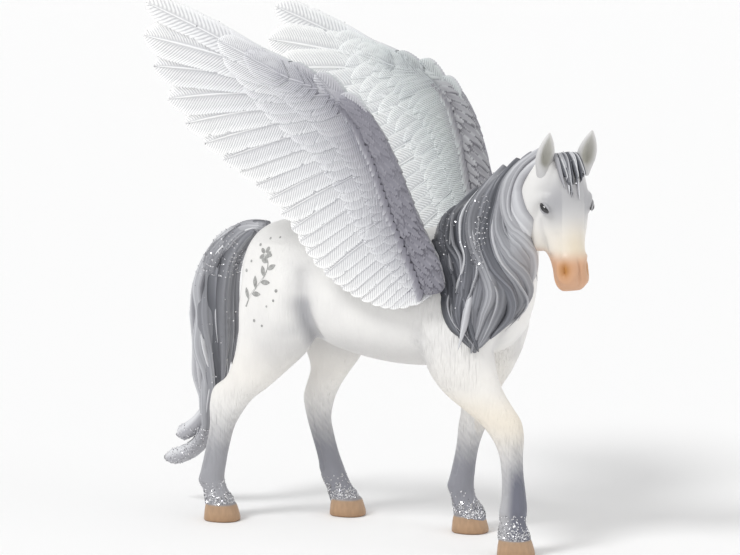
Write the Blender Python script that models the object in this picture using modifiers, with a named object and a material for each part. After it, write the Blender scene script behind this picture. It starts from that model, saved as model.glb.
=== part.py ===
"""Toy figurine of a winged horse at a walk, its head turned to its right and its wings raised.

Three plastic mouldings: the body, with its mane and tail, and two wings that plug into its shoulders.
+X points the way the horse walks, +Y to its left, +Z up. The hooves stand on Z = 0.
"""

import math

import bmesh
import bpy
from mathutils import Matrix, Vector
from mathutils.bvhtree import BVHTree

MM = 0.001

# Driving dimensions, in metres
BODY_LENGTH = 0.082  # point of buttock to point of shoulder
WITHERS_HEIGHT = 0.085
TRUNK_WIDTH = 0.028
LEG_WIDTH = 0.0058  # across a hind cannon
HOOF_LENGTH = 0.0098  # heel to toe, on the ground
HOOF_WIDTH = 0.0088
HOOF_HEIGHT = 0.0048
HEAD_LENGTH = 0.036  # poll to lips
HEAD_WIDTH = 0.0144  # across the brows
EAR_LENGTH = 0.0104
EAR_WIDTH = 0.0054
EYE_LENGTH = 0.0036
NOSTRIL_LENGTH = 0.0028
HAIR_THICKNESS = 0.0030  # of a lock in the mane or tail
WING_STAND_OFF = 0.0176  # mid-plane to the middle of the wing, at the wing's foot
WING_FLARE = 0.22  # how far the wing leans out for each unit of height
WING_SPREAD = 0.05  # how far it spreads out for each unit of length behind the plug
FEATHER_THICKNESS = 0.0017
FEATHER_TILT = 0.00035  # how far its rear edge is raised
ARM_DIAMETER = 0.0060  # of the wing's leading edge at its root, through the wing
ARM_FLATNESS = 1.3  # how much wider it is in the plane of the wing
PLUG_DIAMETER = 0.008
PLUG_DEPTH = 0.004  # how far the plug goes into the shoulder
PLUG_CLEARANCE = 0.0003
SHOULDER_FACE = 0.0132  # mid-plane to the skin of the shoulder at the plug
SHOULDER_GAP = 0.0003  # between that skin and the wing
BOSS_DIAMETER = 0.018  # of the swelling round the plug, on the shoulder
WING_BOSS_DIAMETER = 0.015  # and on the wing
BOSS_DEPTH = 0.0033  # half the thickness of the swelling on the wing

# The stations below were drawn in millimetres, on a figurine with these sizes in millimetres
DRAWN_LENGTH, DRAWN_WITHERS, DRAWN_WIDTH, DRAWN_LEG = 82, 85, 28, 5.8
LONG = BODY_LENGTH / DRAWN_LENGTH / MM
TALL = WITHERS_HEIGHT / DRAWN_WITHERS / MM
WIDE = TRUNK_WIDTH / DRAWN_WIDTH / MM
STOUT = LEG_WIDTH / DRAWN_LEG / MM

FORWARD_SHIFT = -2.0  # millimetres that bring the middle of the figurine over the origin
POLL = (63.4, -4.3, 107.6)
HEAD_TURN = math.radians(-34)  # to the horse's right
FACE_SLOPE = math.radians(80)  # of the line of the nose, below the horizontal
PLUG_PLACE = (24.0, 74.0)
WING_FOOT = 65.0  # the height where the wing stands off the mid-plane by its stand-off
LEFT_WING_SWING = math.radians(5.5)  # how much further back the left wing is turned about its plug

FLESH_VOXEL = 0.0007
BODY_VOXEL = 0.0005
WING_VOXEL = 0.00042
BODY_TRIANGLES = 5650
WING_TRIANGLES = 2750

# Trunk and neck: top x, z, bottom x, z, y, half width, how much narrower the top is than the bottom
TRUNK = [
    (-35.0, 71.0, -35.0, 65.0, 0.0, 3.0, 0.0),
    (-33.8, 77.5, -34.5, 58.5, 0.0, 8.6, 0.0),
    (-30.0, 81.6, -31.0, 54.0, 0.0, 11.8, 0.05),
    (-23.0, 83.6, -24.0, 52.0, 0.0, 13.2, 0.1),
    (-14.0, 82.6, -14.0, 52.0, 0.0, 13.2, 0.12),
    (-5.0, 80.6, -5.0, 49.2, 0.0, 13.8, 0.12),
    (4.0, 79.8, 5.0, 47.4, 0.0, 14.0, 0.12),
    (12.0, 81.2, 15.0, 46.8, 0.0, 13.8, 0.15),
    (18.0, 83.6, 25.0, 47.6, 0.0, 13.2, 0.2),
    (23.5, 85.4, 34.0, 50.0, 0.0, 12.4, 0.28),
    (29.0, 89.0, 43.5, 54.0, 0.0, 11.6, 0.32),
    (34.5, 93.8, 48.0, 61.5, 0.0, 10.4, 0.34),
    (40.0, 98.2, 49.6, 69.5, -0.4, 9.0, 0.32),
    (46.0, 102.2, 50.4, 76.5, -1.4, 7.6, 0.28),
    (52.0, 105.2, 51.0, 83.0, -2.8, 6.4, 0.22),
    (57.0, 106.6, 54.0, 88.0, -3.8, 5.6, 0.15),
    (60.5, 105.6, 57.5, 92.0, -4.6, 4.4, 0.1),
]

# Legs: back x, z, front x, z, y, half width
RIGHT_HIND = [
    (-31.5, 78.0, -14.0, 78.0, -6.0, 4.6),
    (-33.8, 69.0, -9.5, 68.5, -7.6, 6.2),
    (-34.6, 60.5, -9.5, 57.5, -8.6, 6.4),
    (-34.4, 52.5, -12.8, 49.6, -9.4, 5.7),
    (-35.6, 45.8, -18.8, 43.6, -9.9, 4.6),
    (-38.0, 40.2, -25.2, 38.0, -10.3, 3.8),
    (-42.0, 36.8, -29.6, 34.6, -10.6, 3.2),
    (-43.2, 32.0, -32.8, 30.8, -10.8, 3.1),
    (-43.0, 26.4, -35.6, 26.2, -11.0, 2.8),
    (-44.2, 20.0, -37.3, 20.4, -11.2, 2.7),
    (-45.6, 14.0, -38.3, 15.2, -11.4, 2.8),
    (-46.2, 10.6, -38.9, 11.4, -11.5, 3.2),
    (-44.8, 7.8, -37.8, 8.6, -11.6, 2.9),
    (-44.2, 5.4, -36.0, 6.2, -11.7, 3.6),
    (-43.8, 2.4, -35.2, 3.0, -11.7, 3.6),
]
LEFT_HIND = [
    (-31.0, 78.0, -13.0, 78.0, 6.0, 4.6),
    (-32.6, 69.0, -7.6, 68.5, 7.6, 6.2),
    (-31.8, 60.5, -5.0, 58.5, 8.6, 6.4),
    (-28.6, 53.0, -5.2, 51.0, 9.2, 5.7),
    (-24.8, 46.5, -7.6, 45.2, 9.6, 4.6),
    (-23.2, 41.0, -11.2, 40.6, 10.0, 3.8),
    (-24.6, 36.4, -14.2, 36.4, 10.2, 3.2),
    (-25.8, 32.4, -16.4, 32.0, 10.4, 3.1),
    (-25.0, 27.2, -17.6, 26.8, 10.6, 2.8),
    (-23.6, 22.2, -16.8, 22.0, 10.8, 2.7),
    (-22.0, 17.0, -15.4, 17.0, 11.0, 2.7),
    (-20.9, 12.6, -13.9, 13.2, 11.1, 2.9),
    (-20.4, 10.0, -12.9, 10.6, 11.2, 3.2),
    (-18.9, 7.4, -11.5, 8.2, 11.2, 2.9),
    (-18.0, 5.4, -9.6, 6.0, 11.2, 3.6),
    (-17.2, 2.4, -8.6, 3.0, 11.2, 3.6),
]
RIGHT_FORE = [
    (17.0, 80.0, 30.0, 81.0, -5.0, 4.2),
    (16.5, 71.0, 38.0, 72.0, -7.2, 6.0),
    (19.0, 61.0, 43.0, 62.5, -8.4, 6.4),
    (22.6, 52.5, 43.6, 54.0, -9.0, 5.8),
    (25.6, 46.2, 45.0, 47.6, -9.3, 5.0),
    (30.0, 41.6, 47.0, 43.4, -9.5, 4.4),
    (35.8, 37.8, 49.6, 39.8, -9.6, 3.8),
    (41.0, 34.4, 52.4, 36.0, -9.7, 3.6),
    (44.8, 30.4, 53.2, 31.6, -9.8, 3.5),
    (46.6, 26.4, 53.0, 27.0, -9.9, 2.9),
    (47.3, 21.6, 53.3, 22.0, -10.0, 2.7),
    (47.4, 16.6, 54.0, 16.8, -10.0, 2.8),
    (46.8, 11.6, 54.4, 12.4, -10.0, 3.2),
    (46.6, 8.2, 54.0, 9.2, -10.0, 2.9),
    (46.4, 5.6, 55.0, 6.4, -10.0, 3.7),
    (46.6, 2.4, 55.6, 3.0, -10.0, 3.7),
]
LEFT_FORE = [
    (16.0, 80.0, 30.0, 81.0, 5.0, 4.2),
    (16.5, 71.0, 42.0, 72.0, 6.6, 6.2),
    (18.5, 61.0, 45.4, 61.5, 7.8, 6.6),
    (20.8, 52.0, 43.2, 52.5, 8.6, 5.8),
    (22.8, 45.0, 39.6, 45.8, 9.0, 4.8),
    (24.2, 38.6, 35.6, 39.4, 9.2, 4.0),
    (24.6, 33.6, 33.8, 34.0, 9.3, 3.6),
    (23.8, 29.6, 31.8, 29.8, 9.4, 3.3),
    (23.2, 24.6, 29.8, 24.8, 9.5, 2.8),
    (22.4, 20.4, 28.8, 20.6, 9.5, 2.7),
    (21.3, 15.8, 28.2, 16.2, 9.5, 2.9),
    (20.5, 12.2, 27.9, 12.8, 9.5, 3.2),
    (21.6, 8.8, 28.6, 9.6, 9.5, 2.9),
    (22.4, 5.6, 31.0, 6.4, 9.5, 3.7),
    (22.8, 2.4, 31.8, 3.0, 9.5, 3.7),
]
LEGS = [RIGHT_HIND, LEFT_HIND, RIGHT_FORE, LEFT_FORE]
SOLES = [(-39.0, -11.7), (-12.3, 11.2), (51.5, -10.0), (27.2, 9.5)]  # middle of each: x, y

# Head, as shares of its length and half width: down the face, forward of the face line, behind it,
# half width, how much narrower the face is than the jaw
HEAD = [
    (0.0, -0.14, 0.18, 0.3, 0.0),
    (0.05, -0.06, 0.27, 0.58, 0.0),
    (0.12, -0.02, 0.33, 0.78, -0.04),
    (0.22, 0.008, 0.4, 0.9, -0.04),
    (0.33, 0.016, 0.45, 0.96, -0.02),
    (0.43, 0.01, 0.475, 0.94, 0.0),
    (0.52, 0.0, 0.47, 0.86, 0.06),
    (0.6, 0.0, 0.43, 0.76, 0.1),
    (0.68, 0.0, 0.345, 0.66, 0.1),
    (0.76, 0.004, 0.28, 0.6, 0.04),
    (0.84, 0.01, 0.25, 0.6, -0.02),
    (0.91, 0.004, 0.235, 0.6, 0.0),
    (0.97, -0.03, 0.2, 0.52, 0.05),
    (1.0, -0.075, 0.16, 0.38, 0.05),
]
# Rounded parts of the head: down the face, behind its line, half widths from the middle, and half sizes
# as shares of the head's length down, out of the face and across
CHEEK = (0.49, 0.32, 0.62, 0.211, 0.189, 0.092)
BROW = (0.37, 0.1, 0.74, 0.089, 0.064, 0.061)
NOSTRIL_FLARE = (0.85, 0.05, 0.46, 0.067, 0.047, 0.042)
# Eyes, nostrils and ears: down the face, behind its line, half widths from the middle
EYE_PLACE = (0.39, 0.09, 0.94)
NOSTRIL_PLACE = (0.85, 0.035, 0.56)
EAR_PLACE = (0.12, 0.11, 0.84)

# Guides the locks of the mane follow, from the withers to the poll: x, y, z from root to tip
MANE = [
    [(25.5, 1.0, 86.5), (26.0, -3.5, 85.6), (28.0, -8.0, 81.5), (30.6, -10.8, 77.4), (33.2, -12.4, 72.8),
     (34.6, -13.8, 69.0), (35.2, -14.6, 65.5), (37.0, -15.0, 61.5)],
    [(31.0, 1.0, 92.5), (28.6, -4.5, 87.8), (29.0, -8.5, 81.6), (32.4, -10.8, 77.2), (35.0, -12.4, 72.0),
     (34.8, -14.2, 67.0), (36.2, -15.2, 62.0), (39.4, -14.6, 57.6)],
    [(37.0, 1.0, 97.5), (32.4, -5.5, 89.5), (33.6, -9.0, 82.8), (36.7, -10.6, 78.0), (36.4, -12.4, 72.4),
     (35.6, -14.2, 67.2), (37.7, -14.8, 61.6), (41.2, -13.6, 55.0)],
    [(41.0, 0.6, 100.5), (36.6, -5.6, 93.0), (36.6, -8.6, 86.2), (39.2, -10.6, 80.4), (41.0, -11.4, 75.0),
     (40.4, -12.6, 69.4), (39.6, -14.0, 63.4), (40.8, -14.4, 54.0)],
    [(44.5, 0.4, 103.2), (40.2, -5.8, 95.8), (38.8, -8.2, 88.8), (40.0, -10.2, 82.0), (44.2, -10.8, 75.0),
     (46.0, -9.4, 69.6), (44.2, -10.6, 62.6), (40.8, -13.9, 55.0)],
    [(49.0, 0.0, 105.4), (45.4, -6.4, 99.2), (44.6, -8.8, 92.0), (45.0, -9.8, 86.0), (47.6, -10.0, 79.2),
     (48.6, -6.4, 72.6), (47.6, -4.2, 66.6), (44.4, -8.0, 60.6)],
    [(53.0, -1.0, 107.4), (48.2, -7.0, 101.0), (46.9, -9.2, 94.6), (48.4, -10.2, 87.6), (50.6, -8.0, 82.0),
     (50.0, -4.0, 77.3), (49.0, -3.0, 71.5), (47.4, -4.0, 66.0)],
    [(56.5, -2.4, 108.0), (50.6, -7.4, 103.4), (48.4, -9.0, 97.8), (50.0, -10.2, 91.8), (52.6, -8.8, 86.4),
     (52.2, -4.8, 82.5), (50.9, -2.0, 77.6), (49.6, -1.4, 72.6)],
]
# How far a lock of the mane stands off the neck and how wide locks are, for each unit of hair thickness
UPPER_LOCK = (0.24, 1.6)
LOWER_LOCK = (0.1, 2.2)
FORELOCK_WIDTH = 1.07
TAIL_LOCK_WIDTH = 1.8
# Strands of the forelock: half widths from the middle at root and tip, how far down the face they reach
# and how far they stand off it, as shares of the head's length
FORELOCK = [
    (-0.46, -0.4, 0.22, 0.0),
    (-0.24, -0.2, 0.3, 0.004),
    (0.0, 0.02, 0.35, 0.006),
    (0.24, 0.12, 0.32, 0.004),
    (0.46, 0.34, 0.24, 0.0),
]
TAIL_LOCKS = 9
TAIL_TWIST = 0.28  # turns that the locks make round the tail
TAIL_FLATNESS = 0.8  # its width from side to side, for each unit from front to back
# Middle of the tail: x, y, z, how far its locks spread
TAIL = [
    (-31.5, 0.0, 80.5, 0.6),
    (-36.5, 0.0, 80.0, 1.6),
    (-42.0, 0.0, 76.8, 2.8),
    (-47.0, 0.4, 71.0, 3.6),
    (-49.6, 0.8, 63.0, 4.2),
    (-50.2, 0.8, 54.5, 4.6),
    (-50.0, 0.6, 46.0, 4.6),
    (-49.6, 0.2, 38.0, 3.8),
    (-50.0, 0.0, 30.0, 2.9),
    (-51.4, 0.4, 22.6, 2.3),
    (-55.0, 0.8, 17.2, 2.2),
    (-60.0, 1.0, 14.0, 1.8),
    (-66.0, 1.0, 12.3, 0.6),
]
# The short lock that curls off above the tail's tip, its width and thickness for each unit of hair thickness
TAIL_CURL = [(-48.0, -0.6, 38.0), (-49.2, -0.6, 31.0), (-52.0, -0.4, 26.0), (-56.4, 0.0, 22.0),
             (-61.4, 0.2, 19.4)]
TAIL_CURL_WIDTH, TAIL_CURL_THICKNESS = 1.6, 1.5

# Wing, seen from the side: x, z, half thickness of its leading edge as a share of the arm's
ARM = [
    (31.0, 70.0, 0.9),
    (29.8, 77.0, 1.05),
    (26.4, 86.0, 1.0),
    (23.6, 95.0, 0.95),
    (21.4, 103.0, 0.9),
    (18.6, 110.4, 0.85),
    (15.0, 116.6, 0.75),
    (9.6, 121.2, 0.6),
    (3.0, 124.2, 0.5),
    (-5.0, 126.4, 0.4),
]
# Tips of the flight feathers, from the leading edge to the flank: x, z
FLIGHT_TIPS = [
    (-44.5, 144.4), (-46.5, 135.4), (-44.4, 126.0), (-41.2, 117.4), (-36.0, 110.2), (-30.0, 104.8),
    (-24.0, 100.4), (-18.0, 96.0), (-13.6, 91.0), (-9.6, 85.8), (-6.6, 80.6), (-3.6, 75.8), (0.6, 71.8),
    (5.4, 68.4), (11.0, 66.0), (17.5, 65.0), (24.0, 66.6),
]
BUNCHING = 0.35  # how much closer together the feathers stand at the flank than at the wing's tip
# Rows of feathers: share of the flight feathers' length, thickness and how many for each flight feather
FEATHER_ROWS = [(1.0, 1.0, 1.3), (0.48, 1.6, 1.6), (0.29, 2.2, 2.0)]
# Short feathers that lap the leading edge of the hand: x, z of foot and tip
EDGE_FEATHERS = [(18.0, 112.0, 11.2, 122.6), (12.0, 118.6, 4.0, 127.4), (6.0, 122.6, -5.0, 129.2),
                 (-2.0, 125.0, -16.0, 132.6)]


def clear_scene():
    for obj in list(bpy.data.objects):
        bpy.data.objects.remove(obj, do_unlink=True)


def place(x, y, z):
    """A point of the drawing, in millimetres, as a point of the figurine in metres."""
    return Vector(((x + FORWARD_SHIFT) * LONG, y * WIDE, z * TALL)) * MM


def catmull_rom(p, q, r, s, t):
    """The value a share t of the way from q to r, on a smooth curve through all four."""
    slope, bow, twist = r - p, 2 * p - 5 * q + 4 * r - s, 3 * q - p - 3 * r + s
    return 0.5 * (2 * q + slope * t + bow * t ** 2 + twist * t ** 3)


def smooth_rows(rows, steps):
    """The rows of numbers with more rows between them, on a curve that passes through each."""
    last = len(rows) - 1
    smooth = []
    for i in range(last):
        a, b, c, d = rows[max(i - 1, 0)], rows[i], rows[i + 1], rows[min(i + 2, last)]
        for step in range(steps):
            t = step / steps
            smooth.append([catmull_rom(p, q, r, s, t) for p, q, r, s in zip(a, b, c, d)])
    smooth.append(list(rows[last]))
    return smooth


def add_object(name, mesh, collection):
    obj = bpy.data.objects.new(name, mesh)
    collection.objects.link(obj)
    return obj


def skin_rings(name, rings, collection):
    """A closed surface through rings that all have the same number of points."""
    bm = bmesh.new()
    loops = [[bm.verts.new(point) for point in ring] for ring in rings]
    count = len(loops[0])
    for near, far in zip(loops, loops[1:]):
        for i in range(count):
            j = (i + 1) % count
            bm.faces.new((near[i], near[j], far[j], far[i]))
    bm.faces.new(reversed(loops[0]))
    bm.faces.new(loops[-1])
    bmesh.ops.recalc_face_normals(bm, faces=bm.faces)
    mesh = bpy.data.meshes.new(name)
    bm.to_mesh(mesh)
    bm.free()
    return add_object(name, mesh, collection)


def oval(centre, along, across, taper=0.0, squareness=2.0, points=24):
    """A ring round centre with half axes along and across, narrower by taper where along points."""
    ring = []
    for i in range(points):
        angle = 2 * math.pi * i / points
        c, s = math.cos(angle), math.sin(angle)
        u = math.copysign(abs(c) ** (2 / squareness), c)
        v = math.copysign(abs(s) ** (2 / squareness), s)
        ring.append(centre + along * u + across * v * (1 - taper * u))
    return ring


def make_trunk(collection):
    rings = []
    for tx, tz, bx, bz, y, half, taper in smooth_rows(TRUNK, 3):
        top, bottom = place(tx, y, tz), place(bx, y, bz)
        across = Vector((0, half * WIDE * MM, 0))
        rings.append(oval((top + bottom) / 2, (top - bottom) / 2, across, taper, 2.2))
    return skin_rings("trunk", rings, collection)


def make_leg(name, stations, collection):
    rings = []
    for bx, bz, fx, fz, y, half in smooth_rows(stations, 3):
        back, front = place(bx, y, bz), place(fx, y, fz)
        centre, along = (back + front) / 2, (front - back) / 2
        if bz < 30:
            along = along * STOUT
        across = Vector((0, half * STOUT * MM, 0))
        rings.append(oval(centre, along, across, 0.0, 2.0))
    return skin_rings(name, rings, collection)


def make_hoof(name, spot, collection):
    """A hoof that reaches below the ground, where the sole is cut flat later."""
    x, y = spot
    middle = place(x, y, 0)
    rings = []
    for height, length, width, forward in (
        (1.22, 0.66, 0.7, -0.04),
        (1.08, 0.86, 0.88, -0.03),
        (0.94, 0.9, 0.92, -0.02),
        (0.0, 1.0, 1.0, 0.0),
        (-0.4, 1.02, 1.02, 0.01),
    ):
        centre = middle + Vector((forward * HOOF_LENGTH, 0, height * HOOF_HEIGHT))
        along = Vector((length * HOOF_LENGTH / 2, 0, 0))
        across = Vector((0, width * HOOF_WIDTH / 2, 0))
        rings.append(oval(centre, along, across, 0.12, 2.3))
    return skin_rings(name, rings, collection)


class HeadFrame:
    """Where the head is: down the face, out of it, and to the horse's right."""

    def __init__(self):
        heading = Vector((math.cos(HEAD_TURN), math.sin(HEAD_TURN), 0))
        self.poll = place(*POLL)
        self.down = heading * math.cos(FACE_SLOPE) - Vector((0, 0, math.sin(FACE_SLOPE)))
        self.right = heading.cross(Vector((0, 0, 1)))
        self.forward = self.down.cross(self.right)
        if self.forward.dot(heading) < 0:
            self.forward = -self.forward

    def at(self, down, behind, right):
        """A point at shares of the head's length down and behind the face, and half widths to the right."""
        return (self.poll + self.down * down * HEAD_LENGTH - self.forward * behind * HEAD_LENGTH
                + self.right * right * HEAD_WIDTH / 2)


def make_head(head, collection):
    rings = []
    for down, forward, behind, half, taper in smooth_rows(HEAD, 3):
        front, back = head.at(down, -forward, 0), head.at(down, behind, 0)
        across = head.right * half * HEAD_WIDTH / 2
        rings.append(oval((front + back) / 2, (front - back) / 2, across, taper, 2.4))
    return skin_rings("head", rings, collection)


def make_mound(name, centre, axes, collection):
    """A ball stretched along three axes, which give its half sizes."""
    bm = bmesh.new()
    bmesh.ops.create_uvsphere(bm, u_segments=16, v_segments=10, radius=1.0)
    stretch = Matrix(axes).transposed().to_4x4()
    stretch.translation = centre
    bmesh.ops.transform(bm, matrix=stretch, verts=bm.verts)
    if stretch.determinant() < 0:
        bmesh.ops.reverse_faces(bm, faces=bm.faces)
    mesh = bpy.data.meshes.new(name)
    bm.to_mesh(mesh)
    bm.free()
    return add_object(name, mesh, collection)


def make_head_mound(head, mound, side, collection):
    """A rounded part of one side of the head."""
    down, behind, out, half_down, half_forward, half_across = mound
    axes = (head.down * half_down, head.forward * half_forward, head.right * half_across)
    axes = [axis * HEAD_LENGTH for axis in axes]
    return make_mound("mound", head.at(down, behind, side * out), axes, collection)


def make_eye(head, side, collection):
    """An almond-shaped eyeball that stands out a little from the side of the head."""
    spot = head.at(EYE_PLACE[0], EYE_PLACE[1], side * EYE_PLACE[2])
    radius = EYE_LENGTH / 2
    slant = (head.forward * 0.9 + head.down * 0.4).normalized()
    axes = (slant * radius, slant.cross(head.right) * radius * 0.6, head.right * radius * 0.5)
    return make_mound("eye", spot, axes, collection)


def make_nostril(name, head, side, tools):
    """A cutter for the hollow of one nostril."""
    spot = head.at(NOSTRIL_PLACE[0], NOSTRIL_PLACE[1], side * NOSTRIL_PLACE[2])
    radius = NOSTRIL_LENGTH / 2
    inward = (head.right * side + head.forward * 0.8).normalized()
    axes = (head.down * radius, head.down.cross(inward) * radius * 0.55, inward * radius * 0.8)
    return make_mound(name, spot, axes, tools)


def make_boss(name, side, depth, half_depth, half_width, collection):
    """The swelling round the wing's plug, on the shoulder or on the wing."""
    centre = place(PLUG_PLACE[0], 0, PLUG_PLACE[1]) + Vector((0, side * depth, 0))
    axes = (Vector((half_width, 0, 0)), Vector((0, side * half_depth, 0)), Vector((0, 0, half_width)))
    return make_mound(name, centre, axes, collection)


def make_ear(name, head, side, collection):
    """A leaf-shaped ear, hollow in front and pricked forward."""
    foot = head.at(EAR_PLACE[0], EAR_PLACE[1], side * EAR_PLACE[2])
    rise = (-head.down + head.forward * 0.48 + head.right * side * 0.03).normalized()
    outward = (head.right * side + head.forward * 0.12).normalized()
    outward = (outward - rise * outward.dot(rise)).normalized()
    front = rise.cross(outward)
    if front.dot(head.forward) < 0:
        front = -front
    rings = []
    for up, width, depth, hollow in (
        (-0.15, 0.6, 0.6, 0.0),
        (0.08, 0.8, 0.66, 0.1),
        (0.25, 0.98, 0.62, 0.55),
        (0.42, 1.0, 0.54, 0.75),
        (0.58, 0.9, 0.46, 0.75),
        (0.74, 0.68, 0.36, 0.6),
        (0.88, 0.4, 0.24, 0.3),
        (1.0, 0.12, 0.12, 0.0),
    ):
        centre = foot + rise * up * EAR_LENGTH + head.forward * (0.1 * up * up * EAR_LENGTH)
        ring = []
        for i in range(16):
            angle = 2 * math.pi * i / 16
            u, v = math.cos(angle), math.sin(angle)
            dent = hollow * max(v, 0) * (1 - 0.8 * abs(u)) * 1.7
            ring.append(centre + outward * u * width * EAR_WIDTH / 2
                        + front * (v * depth - dent * depth) * EAR_WIDTH / 2)
        rings.append(ring)
    return skin_rings(name, rings, collection)


def lock_swell(share):
    """How wide a lock is, a share of the way from its root to its tip."""
    belly = 0.62 + 0.38 * math.sin(math.pi * min(share / 0.8, 1.0))
    return belly - 0.9 * max(share - 0.62, 0) / 0.62


def make_lock(name, path, width, outward, collection, thickness=1.0):
    """A lock of hair: a flat tube along path. outward(point) faces away from the body."""
    points = [Vector(p) for p in smooth_rows([tuple(p) for p in path], 4)]
    rings = []
    last = len(points) - 1
    for i, point in enumerate(points):
        share = i / last
        tangent = (points[min(i + 1, last)] - points[max(i - 1, 0)]).normalized()
        out = outward(point)
        out = (out - tangent * out.dot(tangent)).normalized()
        across = tangent.cross(out)
        swell = lock_swell(share)
        ridge = HAIR_THICKNESS / 2 * thickness * (0.35 + 0.65 * min(swell * 1.4, 1.0))
        rings.append(oval(point, out * ridge, across * width / 2 * HAIR_THICKNESS * swell, 0.35, 1.8, 12))
    return skin_rings(name, rings, collection)


def make_mane(flesh, collection):
    """Wavy locks that hang down the right of the neck, a lock on each guide and between each pair."""
    skin = BVHTree.FromObject(flesh, bpy.context.evaluated_depsgraph_get())
    guides = [sum((tuple(place(*point)) for point in guide), ()) for guide in MANE]
    locks = []
    for k, guide in enumerate(smooth_rows(guides, 2)):
        lift, width = (UPPER_LOCK, LOWER_LOCK)[k % 2 == 0]
        path = []
        for i in range(0, len(guide), 3):
            spot, normal, _, _ = skin.find_nearest(guide[i:i + 3])
            path.append(spot + normal * lift * HAIR_THICKNESS)
        locks.append(make_lock("mane", path, width, lambda p: skin.find_nearest(p)[1], collection))
    return locks


def make_forelock(head, collection):
    """Strands that fall between the ears to the brow."""
    strands = []
    for start, end, reach, lift in FORELOCK:
        path = [
            head.at(0.08, 0.2, start * 0.7),
            head.at(0.02, 0.1, start * 0.9),
            head.at(0.05, 0.03 - lift, start),
            head.at(0.12 + reach * 0.3, -0.012 - lift, (start + end) / 2),
            head.at(reach, -0.02 - lift, end),
        ]
        strands.append(make_lock("forelock", path, FORELOCK_WIDTH, lambda p: head.forward, collection, 0.8))
    return strands


def away_from(middle, point):
    return point - min(middle, key=lambda spot: (spot - point).length)


def make_tail_core(core, middle, collection):
    """The solid middle of the tail, which fills the space between its locks."""
    rings = []
    last = len(core) - 1
    for i, centre in enumerate(middle):
        spread = core[i][3] * MM
        tangent = middle[min(i + 1, last)] - middle[max(i - 1, 0)]
        outward = tangent.cross(Vector((0, 1, 0))).normalized()
        across = Vector((0, spread * WIDE * TAIL_FLATNESS, 0))
        rings.append(oval(centre, outward * spread * LONG, across))
    return skin_rings("tail_core", rings, collection)


def make_tail(collection):
    """Locks wound loosely round the middle of the tail, some shorter than the others."""
    core = smooth_rows(TAIL, 3)
    middle = [place(x, y, z) for x, y, z, _ in core]
    last = len(core) - 1
    locks = [make_tail_core(core, middle, collection)]
    for k in range(TAIL_LOCKS):
        path = []
        for i in range(0, last - (0, 5, 2, 7, 4)[k % 5] + 1, 3):
            x, y, z, spread = core[i]
            angle = 2 * math.pi * (k / TAIL_LOCKS + TAIL_TWIST * i / last)
            wave = spread * (1 + 0.16 * math.sin(i * 0.9 + k * 2.1))
            path.append(place(x + math.cos(angle) * wave, y + math.sin(angle) * wave * TAIL_FLATNESS, z))
        locks.append(make_lock("tail", path, TAIL_LOCK_WIDTH, lambda p: away_from(middle, p), collection))
    curl = [place(*point) for point in TAIL_CURL]
    locks.append(make_lock("tail_curl", curl, TAIL_CURL_WIDTH, lambda p: Vector((0, 0, 1)), collection,
                           TAIL_CURL_THICKNESS))
    return locks


def joined(name, parts, collection):
    """One mesh that holds every part, not yet fused."""
    bm = bmesh.new()
    for part in parts:
        bm.from_mesh(part.data)
        bpy.data.objects.remove(part, do_unlink=True)
    mesh = bpy.data.meshes.new(name)
    bm.to_mesh(mesh)
    bm.free()
    return add_object(name, mesh, collection)


def fuse(obj, voxel, smoothing):
    """Melts the overlapping parts of obj into one skin, and evens it."""
    remesh = obj.modifiers.new("fuse", "REMESH")
    remesh.mode = "VOXEL"
    remesh.voxel_size = voxel
    soften = obj.modifiers.new("soften", "SMOOTH")
    soften.factor = 0.5
    soften.iterations = smoothing


def apply_modifiers(obj):
    graph = bpy.context.evaluated_depsgraph_get()
    mesh = bpy.data.meshes.new_from_object(obj.evaluated_get(graph))
    obj.modifiers.clear()
    obj.data = mesh
    return obj


def thin_out(obj, triangles):
    """Keeps about that many triangles, the most where the shape turns most."""
    graph = bpy.context.evaluated_depsgraph_get()
    mesh = obj.evaluated_get(graph).to_mesh()
    mesh.calc_loop_triangles()
    count = len(mesh.loop_triangles)
    obj.evaluated_get(graph).to_mesh_clear()
    decimate = obj.modifiers.new("thin_out", "DECIMATE")
    decimate.ratio = min(1.0, triangles / count)
    decimate.use_collapse_triangulate = True


def cut(obj, name, cutter):
    boolean = obj.modifiers.new(name, "BOOLEAN")
    boolean.operation = "DIFFERENCE"
    boolean.solver = "EXACT"
    boolean.object = cutter
    cutter.hide_render = True
    cutter.display_type = "WIRE"


def paint(obj, name, colour, roughness):
    material = bpy.data.materials.new(name)
    material.use_nodes = True
    shader = material.node_tree.nodes["Principled BSDF"]
    shader.inputs["Base Color"].default_value = (*colour, 1.0)
    shader.inputs["Roughness"].default_value = roughness
    shader.inputs["Metallic"].default_value = 0.0
    obj.data.materials.clear()
    obj.data.materials.append(material)


class WingSide:
    """The right or the left wing: where a point drawn from the side lies on it."""

    def __init__(self, side):
        self.side = side
        self.swing = LEFT_WING_SWING if side > 0 else 0.0
        self.outward = Vector((WING_SPREAD, side, -WING_FLARE)).normalized()

    def at(self, x, z, lift=0.0):
        """The point drawn at x, z, swung about the plug and lifted off the middle of the wing."""
        dx, dz = x - PLUG_PLACE[0], z - PLUG_PLACE[1]
        x = PLUG_PLACE[0] + dx * math.cos(self.swing) - dz * math.sin(self.swing)
        z = PLUG_PLACE[1] + dx * math.sin(self.swing) + dz * math.cos(self.swing)
        point = place(x, 0, z)
        rise, back = (z - WING_FOOT) * TALL * MM, (PLUG_PLACE[0] - x) * LONG * MM
        point.y = self.side * (WING_STAND_OFF + WING_FLARE * rise + WING_SPREAD * back + lift)
        return point


def arm_at(share):
    rows = smooth_rows(ARM, 4)
    return rows[round(share * (len(rows) - 1))]


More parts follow.
